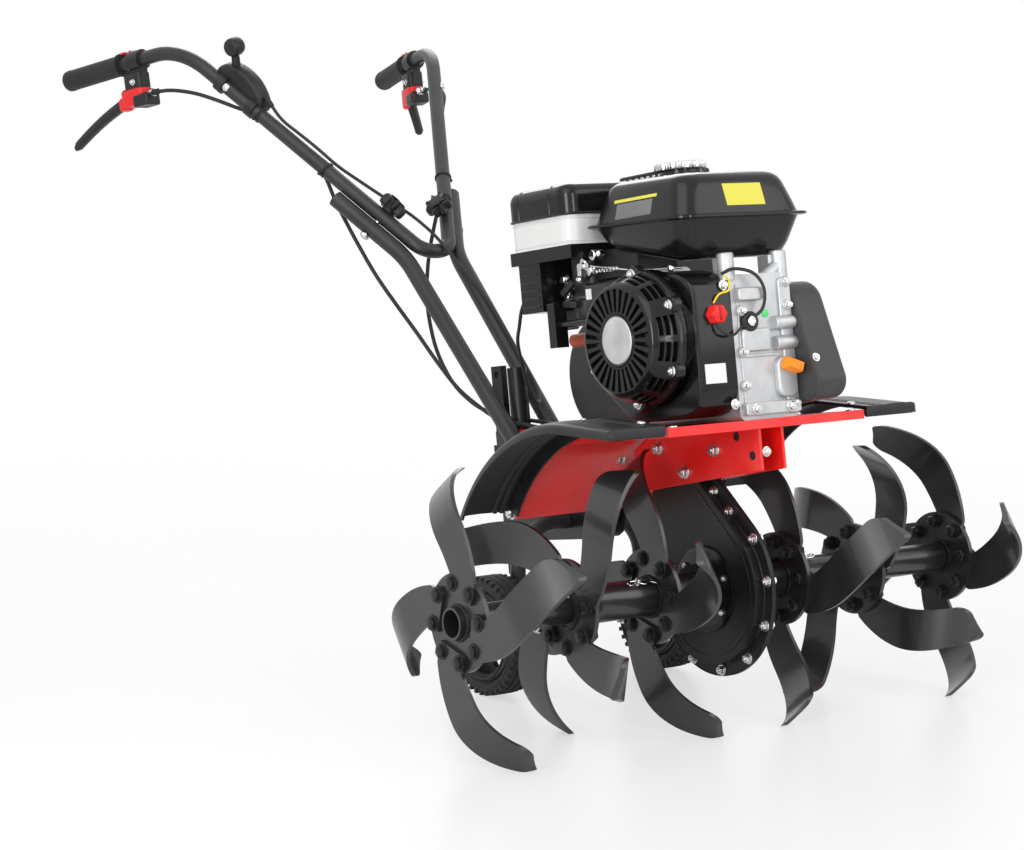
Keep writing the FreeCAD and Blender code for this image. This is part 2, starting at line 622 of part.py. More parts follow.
for side, name in ((-1, "right"), (1, "left")):
    place = STANCE * Placement(WHEEL + Vector(0, side * value("wheel_half_track"), 0), Rotation())
    keep(feature(f"tyre_{name}", tyre_ring()), f"tyre_{name}", place)
    keep(feature(f"rim_{name}", spoked_rim()), f"rim_{name}", place)

# ---------------------------------------------------------------- handlebar

HANDLE_LOW = point("handle_low_x", "frame_inner + plate_wall + tube_radius + base_gap", "handle_low_z")
ARM_LOW, ARM_TOP = point("arm_low_x", "arm_low_y", "arm_low_z"), point("arm_top_x", "arm_top_y", "arm_top_z")
GRIP_END = point("grip_end_x", "grip_end_y", "grip_end_z")
ARM = (ARM_TOP - ARM_LOW).normalize()
GRIP = (GRIP_END - ARM_TOP).normalize()
SIDEWAYS = (Vector(0, 1, 0) - ARM * ARM.y).normalize()
OUTWARD = SIDEWAYS * value("cos(clamp_turn)") + ARM.cross(SIDEWAYS) * value("sin(clamp_turn)")
BESIDE = OUTWARD * value("tube_radius + upper_radius + clamp_gap")


def across(spot):
    """Reflect a point to the right side of the machine."""
    return Vector(spot.x, -spot.y, spot.z)


def lower_handle(side):
    """Bend one lower handle tube: a steep stretch from the rear frame, then beside the upper tube."""
    bend = ARM_LOW + ARM * value("lower_bend_at") + BESIDE
    top = ARM_LOW + ARM * value("lower_top_at") + BESIDE
    tube = swept([HANDLE_LOW, bend, top], [value("lower_bend")], value("tube_radius"),
                 value("tube_radius - tube_wall"))
    bolt = ARM_LOW + ARM * value("clamp_at")
    tube = tube.cut(rod(bolt + BESIDE * -1.5, bolt + BESIDE * 3, value("bolt_radius + bolt_slack")))
    return mirrored(tube) if side < 0 else tube


def upper_handle():
    """Bend the one-piece upper handle: grip, arm, U-bend, arm and grip."""
    heel = Vector(ARM_LOW.x, value("heel_half"), ARM_LOW.z)
    route = [GRIP_END, ARM_TOP, heel, across(heel), across(ARM_TOP), across(GRIP_END)]
    bends = [value("grip_bend"), value("heel_bend"), value("heel_bend"), value("grip_bend")]
    tube = swept(route, bends, value("upper_radius"), value("upper_radius - tube_wall"))
    bolt = ARM_LOW + ARM * value("clamp_at")
    hole = rod(bolt + BESIDE * -1.5, bolt + BESIDE * 3, value("bolt_radius + bolt_slack"))
    return tube.cut([hole, mirrored(hole)])


def clamp_knob(side):
    """Turn a clamp bolt with its head outside and a round knob inside the handle."""
    bolt, height = ARM_LOW + ARM * value("clamp_at"), value("knob_height")
    far = value("upper_radius + 2 * tube_radius + clamp_gap + seat_gap")
    near = value("upper_radius + seat_gap")
    solid = rod(bolt - OUTWARD * (near + height), bolt + OUTWARD * far, value("bolt_radius"))
    solid = solid.fuse([rod(bolt - OUTWARD * (near + height), bolt - OUTWARD * (near + 8),
                            value("knob_radius")),
                        rod(bolt - OUTWARD * (near + height), bolt - OUTWARD * near,
                            value("knob_radius") / 2),
                        rod(bolt + OUTWARD * far, bolt + OUTWARD * (far + 6), value("bolt_radius") * 2)])
    return mirrored(solid) if side < 0 else solid


def grip_sleeve(side):
    """Slide a rubber grip over the end of the upper handle."""
    start = GRIP_END - GRIP * value("grip_length")
    end = GRIP_END + GRIP * 3
    sleeve = rod(start, end, value("grip_radius")).cut(rod(start, GRIP_END,
                                                           value("upper_radius + grip_slack")))
    return mirrored(sleeve) if side < 0 else sleeve


LEVER_FRONT = GRIP_END - GRIP * value("grip_length + lever_gap")
LEVER_REAR = LEVER_FRONT - GRIP * value("lever_clamp_length")


def lever_ear(length, width, low, high):
    """Make an upright block under the middle of a lever clamp."""
    middle = (LEVER_FRONT + LEVER_REAR) * 0.5
    block = Part.makeBox(length, width, low - high, Vector(-length / 2, -width / 2, -low))
    block.rotate(Vector(), Vector(0, 0, 1), math.degrees(math.atan2(GRIP.y, GRIP.x)))
    block.translate(middle)
    return block


def lever_clamp(side):
    """Close a lever clamp round the handle in front of the grip, with an ear below for the lever."""
    collar = rod(LEVER_REAR, LEVER_FRONT, value("upper_radius + lever_clamp_wall"))
    ear = lever_ear(value("lever_clamp_length"), value("lever_width"), value("lever_drop"), 0)
    solid = collar.fuse(ear).cut(rod(LEVER_REAR - GRIP * 30, LEVER_FRONT + GRIP * 30,
                                     value("upper_radius + grip_slack")))
    return mirrored(solid) if side < 0 else solid


def hand_lever(side):
    """Shape a hand lever: a pivot block under the clamp and a blade that reaches back below the grip."""
    length, drop = value("lever_clamp_length"), value("lever_drop + seat_gap")
    head = lever_ear(length + 22, value("lever_width") + 8, drop + value("lever_head"), drop)
    middle = (LEVER_FRONT + LEVER_REAR) * 0.5 - Vector(0, 0, drop + value("lever_head") / 2)
    end = point("lever_end_x" if side < 0 else "left_lever_end_x", "lever_end_y", "lever_end_z")
    solid = head.fuse(rod(middle, end, value("lever_radius")))
    return mirrored(solid) if side < 0 else solid


keep(feature("upper_handle", upper_handle()), "upper_handle")
for side, name in ((-1, "right"), (1, "left")):
    keep(feature(f"lower_handle_{name}", lower_handle(side)), f"lower_handle_{name}")
    keep(feature(f"clamp_knob_{name}", clamp_knob(side)), f"clamp_knob_{name}")
    keep(feature(f"grip_{name}", grip_sleeve(side)), f"grip_{name}")
    keep(feature(f"lever_clamp_{name}", lever_clamp(side)), f"lever_clamp_{name}")
    keep(feature(f"clutch_lever_{name}", hand_lever(side)), f"clutch_lever_{name}")

# ---------------------------------------------------------------- engine

crankcase = rounded("crankcase_round", box("crankcase_block", ("block_rear", "block_right", "deck_top"),
                                           ("block_front", "block_left", "block_top")), "8", along("x"))
keep(crankcase, "crankcase")
keep(rounded("cylinder_round", box("cylinder_block", ("cylinder_rear", "block_right + 6", "cylinder_low"),
                                   ("block_rear", "block_left - 4", "cylinder_top")), "8", along("x")),
     "cylinder")
housing_box = box("housing_box", ("block_rear + 10", "housing_right", "deck_top + 6"),
                  ("block_front", "block_right", "housing_top"))
housing_drum = cylinder("housing_drum", "recoil_radius + 16", "block_right - housing_right",
                        ("crank_x", "housing_right", "crank_z"))
keep(fuse("housing_shell", [housing_box, housing_drum]), "fan_housing")
recoil = cylinder("recoil_drum", "recoil_radius + 8", "housing_right - recoil_face",
                  ("crank_x", "recoil_face", "crank_z"))


def outer_circle(edge):
    """Pick the round edge on the recoil starter's outer face."""
    return edge.Curve.TypeId == "Part::GeomCircle" and edge.Curve.Center.y < value("recoil_face") + 0.1


keep(rounded("recoil_round", recoil, "14", outer_circle), "recoil_starter")
grip_rod = cylinder("starter_rod", "5", "starter_reach", ("block_rear + 10 - starter_reach", "starter_y",
                                                          "starter_z"), "x")
grip_bar = box("starter_bar", ("block_rear + 10 - starter_reach - pull_depth", "starter_y - 10",
                               "starter_z - 30"),
               ("block_rear + 10 - starter_reach", "starter_y + 10", "starter_z + 30"))
keep(fuse("starter_pull", [grip_rod, grip_bar]), "starter_grip")

def shell_block(low, high, corner, crown):
    """Make a block with rounded upright corners and a rounded crown on its upper edges."""
    block = Part.makeBox(high.x - low.x, high.y - low.y, high.z - low.z, low)
    block = block.makeFillet(corner, [edge for edge in block.Edges if along("z")(edge)])
    if crown:
        block = block.makeFillet(crown, [edge for edge in block.Edges if edge.BoundBox.ZMin > high.z - 0.01])
    return block


def fuel_tank():
    """Press a tank from a sloping lower shell and a domed upper shell that meet at a flanged seam."""
    rear, front = value("tank_rear"), value("tank_front")
    right, left = value("tank_right"), value("tank_left")
    seam, low = value("tank_seam"), value("tank_low")
    corner, flange = value("tank_corner"), value("tank_flange")
    lower = shell_block(Vector(rear + 8, right + 8, low), Vector(front - 8, left - 8, seam), corner, 0)
    rise = value("tank_rear_rise")
    foot = value("block_front - bracket_depth - 8")
    wedge = Part.Wire([Part.makePolygon([Vector(rear, 0, low - 1), Vector(foot, 0, low - 1),
                                         Vector(foot, 0, low),
                                         Vector(rear, 0, low + rise), Vector(rear, 0, low - 1)])])
    lower = lower.cut(slab(wedge, right, left))
    upper = shell_block(Vector(rear + 3, right + 3, seam), Vector(front - 3, left - 3, value("tank_top")),
                        corner,
                        value("tank_round"))
    rim = shell_block(Vector(rear - flange, right - flange, seam - 2),
                      Vector(front + flange, left + flange, seam + 2),
                      corner + flange, 0)
    shell = lower.fuse([upper, rim])
    shell.rotate(Vector(front, 0, seam), Vector(0, 1, 0), value("tank_tilt"))
    return shell


keep(feature("fuel_tank", fuel_tank()), "fuel_tank")
neck = cylinder("cap_neck", "cap_radius - 6", "cap_top - tank_top - 19.5", ("cap_x", "0", "tank_top + 5.5"),
                "z")
lid = cylinder("cap_lid", "cap_radius", "14", ("cap_x", "0", "cap_top - 14"), "z")
keep(fuse("cap_turned", [neck, lid]), "tank_cap")


def bracket(name, middle):
    """Stand one short tank bracket on the engine block."""
    leg = box(f"{name}_block", ("block_front - bracket_depth", f"{middle} - bracket_width / 2", "block_top"),
              ("block_front - 8", f"{middle} + bracket_width / 2", "tank_low + seat_gap"))
    return rounded(f"{name}_round", leg, "4", along("z"))


brackets = doc.addObject("Part::Compound", "tank_brackets")
brackets.Links = [bracket("bracket_right", "block_right + 10"), bracket("bracket_left", "block_left - 12")]
keep(brackets, "tank_brackets")

carburettor = box("carburettor_block", ("cleaner_front - 60", "block_right - 42", "cylinder_top - 56"),
                  ("cleaner_front - 14", "block_right + 6", "cleaner_low"))
keep(rounded("carburettor_round", carburettor, "6", along("z")), "carburettor")
base_low = box("cleaner_box", ("cleaner_rear + 10", "cleaner_right + 5", "cleaner_low - 66"),
               ("cleaner_front - 80", "cleaner_right + 60", "cleaner_low + 1"))
base_top = box("cleaner_tray", ("cleaner_rear", "cleaner_right", "cleaner_low"),
               ("cleaner_front", "cleaner_left", "cleaner_low + 18"))
keep(fuse("cleaner_base_shell", [base_low, base_top]), "air_cleaner_base")
band = box("cleaner_band", ("cleaner_rear", "cleaner_right", "cleaner_low + 18"),
           ("cleaner_front", "cleaner_left", "cleaner_low + 18 + band_height"))
keep(rounded("cleaner_band_round", band, "20", along("z")), "air_cleaner_band")
cover = shell_block(point("cleaner_rear - 2", "cleaner_right - 2", "cleaner_low + 18 + band_height"),
                    point("cleaner_front + 2", "cleaner_left + 2", "cleaner_top"), 22, value("cleaner_round"))
keep(feature("air_cleaner_cover", cover), "air_cleaner_cover")
muffler = box("muffler_box", ("cleaner_rear + 20", "block_left - 4", "cylinder_top - muffler_drop"),
              ("cleaner_front", "muffler_left", "muffler_top"))
keep(rounded("muffler_round", muffler, "14", along("y")), "muffler")
keep(cylinder("spark_plug_cap", "9", "38", ("cylinder_rear - 38", "block_right + 2", "crank_z + 12"), "x"),
     "spark_plug_cap")
keep(cylinder("engine_switch", "12", "14", ("block_front", "block_right - 30", "crank_z + 22"), "x"),
     "engine_switch")
keep(cylinder("oil_filler", "11", "24", ("block_front", "block_left - 16", "crank_z - 50"), "x"),
     "oil_filler")


def belt_cover():
    """Mould the belt cover on the engine's output side, round at the rear and squarer in front."""
    rear = (point("cover_rear_x", 0, "cover_rear_z"), value("cover_rear_radius"))
    low = (point("cover_low_x", 0, "cover_low_z"), value("cover_low_radius"))
    high = (point("cover_high_x", 0, "cover_high_z"), value("cover_high_radius"))
    solid = slab(belt_outline([rear, low, high]), value("block_left"), value("cover_left"))
    return solid.makeFillet(value("cover_round"), [edge for edge in solid.Edges
                                                   if edge.BoundBox.YMin > value("cover_left") - 0.01])


keep(feature("belt_cover", belt_cover()), "belt_cover")

# ---------------------------------------------------------------- throttle

THROTTLE = ARM_LOW + ARM * value("throttle_at")
UPWARD = (Vector(0, 0, 1) - ARM * ARM.z).normalize()


def ball_stem(start, end, stem, ball):
    """Turn a round stem that ends in a ball with a small flat top; the ball's centre is at the end."""
    length = (end - start).Length
    neck = math.sqrt(ball ** 2 - stem ** 2)
    top = Vector(stem, 0, length + neck)
    profile = Part.Wire([
        Part.LineSegment(Vector(), Vector(stem, 0, 0)).toShape(),
        Part.LineSegment(Vector(stem, 0, 0), Vector(stem, 0, length - neck)).toShape(),
        Part.Arc(Vector(stem, 0, length - neck), Vector(ball, 0, length), top).toShape(),
        Part.LineSegment(top, Vector(0, 0, top.z)).toShape(),
        Part.LineSegment(Vector(0, 0, top.z), Vector()).toShape()])
    solid = Part.Face(profile).revolve(Vector(), Vector(0, 0, 1), 360)
    solid.Placement = Placement(start, Rotation(Vector(0, 0, 1), end - start))
    return solid


def throttle_control():
    """Strap a round throttle housing on the right handle tube, with its lever and ball."""
    hub = THROTTLE + UPWARD * value("upper_radius + throttle_radius / 2")
    half = SIDEWAYS * value("throttle_width / 2")
    solid = rod(hub - half, hub + half, value("throttle_radius"))
    tip = hub + ARM * value("throttle_reach") + UPWARD * value("throttle_rise")
    solid = solid.fuse(ball_stem(hub, tip, value("throttle_stem"), value("throttle_ball")))
    strap = rod(THROTTLE - ARM * 14, THROTTLE + ARM * 14, value("upper_radius + lever_clamp_wall"))
    solid = solid.fuse(strap).cut(rod(ARM_LOW, ARM_TOP, value("upper_radius + grip_slack")))
    return mirrored(solid)


keep(feature("throttle_control", throttle_control()), "throttle_control")

# ---------------------------------------------------------------- control cables

# Each route runs from a control to the machine; its points are chosen by hand.
CLUTCH_ROUTE_RIGHT = [
    (-973.4, -252.6, 805), (-918, -246, 801), (-876, -226, 789), (-850, -199, 772), (-839, -177, 760),
    (-822, -158, 750), (-794, -143, 724), (-760, -119, 683), (-729, -100, 645), (-714, -96, 603),
    (-688, -86, 547), (-655, -73, 482), (-622, -62, 434), (-585, -52, 386), (-556, -42, 342),
    (-522, -30, 296), (-483, -19.5, 266), (-440, -19.3, 246), (-385, -19.3, 238), (-335, -20.5, 230),
    (-312, -22, 227.3)]
CLUTCH_ROUTE_LEFT = [
    (-973.4, 252.6, 805), (-915, 246, 803), (-865, 228, 784), (-832, 196, 752), (-800, 172, 716),
    (-760, 145, 670), (-727, 118, 630), (-712, 86, 572), (-703, 58, 508), (-690, 38, 436),
    (-658, 26, 362), (-608, 20, 304), (-548, 19, 268), (-490, 19.3, 252), (-440, 19.3, 245),
    (-385, 19.3, 238), (-335, 20.5, 230), (-312, 22, 227.3)]
THROTTLE_ROUTE = [
    (-787.8, -156.4, 770), (-770, -144, 732.5), (-745.7, -127.5, 707), (-723, -111, 681),
    (-706, -90, 652), (-677, -34, 602), (-641, -6, 568), (-590, 0, 531), (-566, 14, 492),
    (-546, 33, 456), (-521.5, 40.5, 421), (-489.5, 40, 381), (-461, 38.5, 346), (-433, 37, 313),
    (-408, 33, 283), (-388, 20, 265), (-372, 0, 268), (-357, -22, 292), (-335, -45, 326),
    (-300, -74, 355), (-258, -98, 372), (-236, -108, 394), (-222, -105, 414), (-202.9, -100, 424)]


def control_cable(route, radius, ferrule):
    """Run a cable along a route, with the largest arc that fits each point, out of a short ferrule."""
    points = [Vector(*spot) for spot in route]
    radii = []
    for before, corner, after in zip(points, points[1:], points[2:]):
        first, second = before - corner, after - corner
        turn = math.pi - first.getAngle(second)
        radii.append(0.45 * min(first.Length, second.Length) / math.tan(turn / 2))
    tube = swept(points, radii, radius)
    length = tube_path(points, radii).Length
    print("cable length", round(length), "tightest arc", round(min(radii)),
          "volume share", round(tube.Volume / (math.pi * radius ** 2 * length), 3))
    heading = (points[1] - points[0]).normalize()
    return tube.fuse(rod(points[0], points[0] + heading * ferrule, 1.6 * radius))


clutch_radius, ferrule = value("clutch_cable_radius"), value("cable_ferrule")
keep(feature("clutch_cables", Part.makeCompound([control_cable(CLUTCH_ROUTE_RIGHT, clutch_radius, ferrule),
                                                 control_cable(CLUTCH_ROUTE_LEFT, clutch_radius, ferrule)])),
     "clutch_cables")
keep(feature("throttle_cable", control_cable(THROTTLE_ROUTE, value("throttle_cable_radius"), ferrule)),
     "throttle_cable")

# ---------------------------------------------------------------- checks and export

doc.recompute()
for item in doc.Objects:
    if {"Invalid", "Error"} & set(item.State):
        raise RuntimeError(f"{item.Name} did not compute: {item.State}")


def footprint_middle():
    """Find the middle of the machine's length, which the row frame takes as its origin."""
    bounds = [item.Shape.optimalBoundingBox(False, False) for item in nodes]
    return (min(box.XMin for box in bounds) + max(box.XMax for box in bounds)) / 2


os.makedirs("parts", exist_ok=True)
MIDDLE = footprint_middle()
for item in nodes:
    item.Placement = Placement(Vector(-MIDDLE, 0, 0), Rotation()) * item.Placement
    shape = item.Shape
    if shape.isNull() or not shape.isValid():
        raise RuntimeError(f"{item.Label} has no valid shape")
    shape.exportStep(f"parts/{item.Label}.step")
    print(item.Label, len(shape.Solids), round(shape.Volume / 1000), "cm3")
print("lean", round(LEAN, 3), "tine axis", (-MIDDLE, 0, AXIS_HEIGHT), "nodes", len(nodes))
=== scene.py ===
"""Looks of a walk-behind rotary tiller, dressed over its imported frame.

Lengths are in metres.  Pieces are drawn in the machine's own frame: its origin is on the tine axis,
+X points forward, +Y left and +Z up, square to the engine deck.  The whole machine leans back a
little on its transport wheels, so a matrix stands that frame on the floor.
"""

import json
import logging
import math
from collections.abc import Callable, Sequence
from dataclasses import dataclass, field
from enum import Enum
from functools import cache

import bmesh
import bpy
import numpy as np
from mathutils import Matrix, Vector
from mathutils.bvhtree import BVHTree

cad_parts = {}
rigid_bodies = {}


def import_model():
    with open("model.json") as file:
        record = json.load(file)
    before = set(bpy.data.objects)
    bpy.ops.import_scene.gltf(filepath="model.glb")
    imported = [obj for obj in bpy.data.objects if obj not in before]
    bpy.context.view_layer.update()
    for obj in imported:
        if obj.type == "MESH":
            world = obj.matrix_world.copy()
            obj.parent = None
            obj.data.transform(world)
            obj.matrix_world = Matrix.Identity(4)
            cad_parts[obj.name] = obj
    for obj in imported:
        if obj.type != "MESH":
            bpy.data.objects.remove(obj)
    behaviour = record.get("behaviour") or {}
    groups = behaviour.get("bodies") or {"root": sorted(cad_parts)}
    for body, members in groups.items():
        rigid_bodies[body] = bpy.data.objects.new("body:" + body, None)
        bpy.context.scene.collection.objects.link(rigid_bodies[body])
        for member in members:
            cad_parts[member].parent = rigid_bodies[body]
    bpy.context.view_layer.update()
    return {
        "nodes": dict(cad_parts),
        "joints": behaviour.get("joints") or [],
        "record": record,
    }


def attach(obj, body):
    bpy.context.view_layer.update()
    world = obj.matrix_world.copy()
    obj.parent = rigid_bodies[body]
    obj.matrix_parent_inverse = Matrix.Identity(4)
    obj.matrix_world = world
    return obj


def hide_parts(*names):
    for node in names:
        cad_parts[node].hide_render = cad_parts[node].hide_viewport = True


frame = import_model()

logging.basicConfig(level=logging.INFO, format="%(message)s")
LOG = logging.getLogger("tiller")
MM = 0.001
Spot = Sequence[float]
Colour = tuple[float, float, float]


def mm(*sizes: float | tuple) -> tuple:
    """Give sizes in millimetres, or tuples of them, in metres."""
    return tuple(mm(*size) if isinstance(size, tuple) else size * MM for size in sizes)


class Side(Enum):
    """Which side of the machine a piece is on; the value is the sign of its Y."""

    RIGHT = -1
    LEFT = 1

    @property
    def word(self) -> str:
        """Give the side's ending in node and piece names."""
        return self.name.lower()

    @property
    def out(self) -> Vector:
        """Give the direction that points out of this side."""
        return Vector((0, self.value, 0))

    def spot(self, x: float, y: float, z: float) -> Vector:
        """Give a left-hand spot's place on this side."""
        return Vector((x, y * self.value, z))


class Body(Enum):
    """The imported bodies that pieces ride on."""

    MACHINE = "machine"
    ROTOR = "tine_rotor"
    WHEEL_RIGHT = "wheel_right"
    WHEEL_LEFT = "wheel_left"


# ---------------------------------------------------------------- the machine's own frame

WHEEL_AXLE = (-312, 176, -50)

def joint_spot(name: str) -> Vector:
    """Find where a joint's axle is.

    Args:
        name: The joint's name in the record.

    Returns:
        The joint's place in the row frame.
    """
    return Vector(next(joint["pos_m"] for joint in frame["joints"] if joint["name"] == name))


def standing() -> Matrix:
    """Work out how the machine stands, from the wheel axle's place about the tine axle.

    Returns:
        The matrix from the machine's frame to the row frame.
    """
    tines, wheel = joint_spot("tine_rotor_spin"), joint_spot("wheel_right_spin")
    square = math.atan2(WHEEL_AXLE[2], WHEEL_AXLE[0])
    lean = math.atan2(wheel.z - tines.z, wheel.x - tines.x) - square
    return Matrix.Translation(tines) @ Matrix.Rotation(-lean, 4, "Y")


STANCE = standing()
STANDS = {Body.MACHINE: STANCE, Body.ROTOR: Matrix.Translation(joint_spot("tine_rotor_spin")),
          Body.WHEEL_RIGHT: Matrix(), Body.WHEEL_LEFT: Matrix()}


@dataclass(frozen=True)
class Block:
    """The box round a CAD node, square to the machine's frame."""

    low: Vector
    high: Vector

    @property
    def middle(self) -> Vector:
        """Give the box's middle."""
        return (self.low + self.high) / 2

    @property
    def size(self) -> Vector:
        """Give the box's length, width and height."""
        return self.high - self.low


@cache
def points_of(node: str) -> np.ndarray:
    """Read a CAD node's corners in the machine's frame.

    Args:
        node: The node's name.

    Returns:
        One row of X, Y and Z for each corner.
    """
    mesh = frame["nodes"][node].data
    spots = np.empty(len(mesh.vertices) * 3)
    mesh.vertices.foreach_get("co", spots)
    back = np.array(STANCE.inverted())
    return spots.reshape(-1, 3) @ back[:3, :3].T + back[:3, 3]


def block(node: str) -> Block:
    """Give the box round a node, square to the machine's frame."""
    spots = points_of(node)
    return Block(Vector(spots.min(0)), Vector(spots.max(0)))


def long_axis(node: str, toward: Vector) -> tuple[Vector, Vector]:
    """Find the longest direction of a slender node.

    Args:
        node: The node's name.
        toward: A rough direction, to choose between the two ways along it.

    Returns:
        The ends' middle and the unit direction, in the machine's frame.
    """
    spots = points_of(node)
    middle = spots.mean(0)
    direction = Vector(np.linalg.svd(spots - middle, full_matrices=False)[2][0])
    if direction.dot(toward) < 0:
        direction.negate()
    reach = (spots - middle) @ np.array(direction)
    return Vector(middle) + direction * float((reach.min() + reach.max()) / 2), direction


# ---------------------------------------------------------------- shader building

class Value:
    """A socket's number in shader arithmetic: an expression on values adds its Math nodes."""

    def __init__(self, graph: "Graph", socket: bpy.types.NodeSocket) -> None:
        """Wrap an output socket of a graph."""
        self.graph = graph
        self.socket = socket

    def math(self, operation: str, *terms: "Value | float") -> "Value":
        """Add a Math node with these values or numbers in its sockets."""
        return self.graph.value("ShaderNodeMath", "Value", {"operation": operation}, dict(enumerate(terms)))

    def __add__(self, other: "Value | float") -> "Value":
        """Add a value or number."""
        return self.math("ADD", self, other)

    __radd__ = __add__

    def __mul__(self, other: "Value | float") -> "Value":
        """Multiply by a value or number."""
        return self.math("MULTIPLY", self, other)

    __rmul__ = __mul__

    def held(self, low: float, high: float) -> "Value":
        """Map the range from low to high onto 0 to 1 and hold it there."""
        sockets = {"Value": self, "From Min": low, "From Max": high}
        return self.graph.value("ShaderNodeMapRange", "Result", {"clamp": True}, sockets)


class Graph:
    """The nodes of a material or a world."""

    def __init__(self, owner: bpy.types.Material | bpy.types.World, shader: str = "ShaderNodeBsdfPrincipled",
                 output: str = "ShaderNodeOutputMaterial") -> None:
        """Start with a shader at the output and nothing else.

        Args:
            owner: The material or world.
            shader: The shader's node type.
            output: The output's node type.
        """
        owner.use_nodes = True
        self.owner = owner
        self.tree = owner.node_tree
        self.tree.nodes.clear()
        self.surface = self.node(shader)
        self.output = self.node(output, inputs={"Surface": self.surface.outputs[0]})

    def node(self, kind: str, settings: dict | None = None, inputs: dict | None = None) -> bpy.types.Node:
        """Add a node.

        Args:
            kind: The node's type.
            settings: Its properties, set first.
            inputs: Values or links of its sockets, by name or number.

        Returns:
            The new node.
        """
        made = self.tree.nodes.new(kind)
        for name, setting in (settings or {}).items():
            setattr(made, name, setting)
        self.feed(made, inputs or {})
        return made

    def feed(self, node: bpy.types.Node, inputs: dict) -> None:
        """Set or link a node's sockets.

        Args:
            node: The node.
            inputs: Numbers, colours, sockets or values, by socket name or number.
        """
        for key, source in inputs.items():
            socket = node.inputs[key]
            source = source.socket if isinstance(source, Value) else source
            if isinstance(source, bpy.types.NodeSocket):
                self.tree.links.new(source, socket)
            elif socket.type == "RGBA":
                socket.default_value = (*source, 1)
            else:
                socket.default_value = source

    def value(self, kind: str, output: str, settings: dict | None = None, inputs: dict | None = None) -> Value:
        """Add a node and give one of its outputs as a value."""
        return Value(self, self.node(kind, settings, inputs).outputs[output])

    def place(self) -> bpy.types.NodeSocket:
        """Give the surface's place in the piece's own metres."""
        return self.node("ShaderNodeTexCoord").outputs["Object"]

    def axes(self) -> tuple[Value, Value, Value]:
        """Give the surface's place as three values."""
        split = self.node("ShaderNodeSeparateXYZ", inputs={0: self.place()})
        return tuple(Value(self, split.outputs[axis]) for axis in "XYZ")

    def noise(self, grain: float, detail: float, stretch: Spot = (1, 1, 1)) -> Value:
        """Add smooth noise.

        Args:
            grain: The size of its lumps in millimetres.
            detail: How many finer layers it has.
            stretch: How much faster it changes along X, Y and Z.

        Returns:
            The noise, from 0 to 1.
        """
        where = self.node("ShaderNodeVectorMath", {"operation": "MULTIPLY"}, {0: self.place(), 1: stretch})
        sockets = {"Vector": where.outputs[0], "Scale": 1 / (grain * MM), "Detail": detail}
        return self.value("ShaderNodeTexNoise", "Fac", None, sockets)

    def mix(self, share: Value, first: Colour | bpy.types.NodeSocket, second: Colour | bpy.types.NodeSocket
            ) -> bpy.types.NodeSocket:
        """Mix two colours, with all of the second where share is 1."""
        return self.node("ShaderNodeMix", {"data_type": "RGBA"}, {0: share, 6: first, 7: second}).outputs[2]

    def relief(self, height: Value, depth: float, edge: float) -> None:
        """Press a height into the surface, on softened edges.

        Args:
            height: The height's pattern.
            depth: Its depth in millimetres.
            edge: The radius of the softened edges in millimetres.
        """
        soft = self.node("ShaderNodeBevel", {"samples": 4}, {"Radius": edge * MM}).outputs[0]
        bump = self.node("ShaderNodeBump", inputs={"Height": height, "Distance": depth * MM, "Normal": soft})
        self.feed(self.surface, {"Normal": bump.outputs[0]})


# ---------------------------------------------------------------- finishes

@dataclass(frozen=True)
class Finish:
    """What a piece is made of, and the record's material slot that it fills; grains are in millimetres."""

    name: str
    slot: str
    colour: Colour
    roughness: float

    def tinted(self, step: float) -> Colour:
        """Give the colour with every channel a step lighter."""
        return tuple(channel + step for channel in self.colour)

    def graph(self) -> Graph:
        """Start the finish's material."""
        return Graph(bpy.data.materials.new(self.name))


@dataclass(frozen=True)
class Paint(Finish):
    """A sprayed or powder coat on metal, with its orange peel, softened edges and a second tone low down."""

    coat: float = 0.0
    peel: float = 1.6
    peel_depth: float = 0.03
    edge: float = 0.8
    dust: float = 0.02
    specular: float = 0.28
    below: Colour | None = None
    split: float = 0.0

    @cache
    def material(self) -> bpy.types.Material:
        """Build the paint's nodes.

        Returns:
            The material.
        """
        graph = self.graph()
        patches, speckle = graph.noise(60, 3), graph.noise(self.peel, 2)
        tone = graph.mix(patches.held(0.35, 0.8), self.colour, self.tinted(self.dust))
        if self.below:
            height = graph.axes()[2].held((self.split - 2) * MM, (self.split + 2) * MM)
            tone = graph.mix(height, self.below, tone)
        graph.feed(graph.surface, {
            "Base Color": tone, "Specular IOR Level": self.specular,
            "Roughness": patches * 0.08 + speckle * 0.05 + (self.roughness - 0.065),
            "Coat Weight": self.coat, "Coat Roughness": 0.12})
        graph.relief(speckle, self.peel_depth, self.edge)
        return graph.owner


@dataclass(frozen=True)
class Plastic(Finish):
    """Moulded plastic or rubber with a fine grain."""

    grain: float = 0.5
    grain_depth: float = 0.02
    wear: float = 0.012
    transmission: float = 0.0

    @cache
    def material(self) -> bpy.types.Material:
        """Build the plastic's nodes.

        Returns:
            The material.
        """
        graph = self.graph()
        patches, grain = graph.noise(45, 3), graph.noise(self.grain, 3)
        graph.feed(graph.surface, {
            "Base Color": graph.mix(patches.held(0.4, 0.75), self.colour, self.tinted(self.wear)),
            "Roughness": patches * 0.1 + grain * 0.08 + (self.roughness - 0.09),
            "Transmission Weight": self.transmission, "Specular IOR Level": 0.3})
        graph.relief(grain, self.grain_depth, 0.6)
        return graph.owner


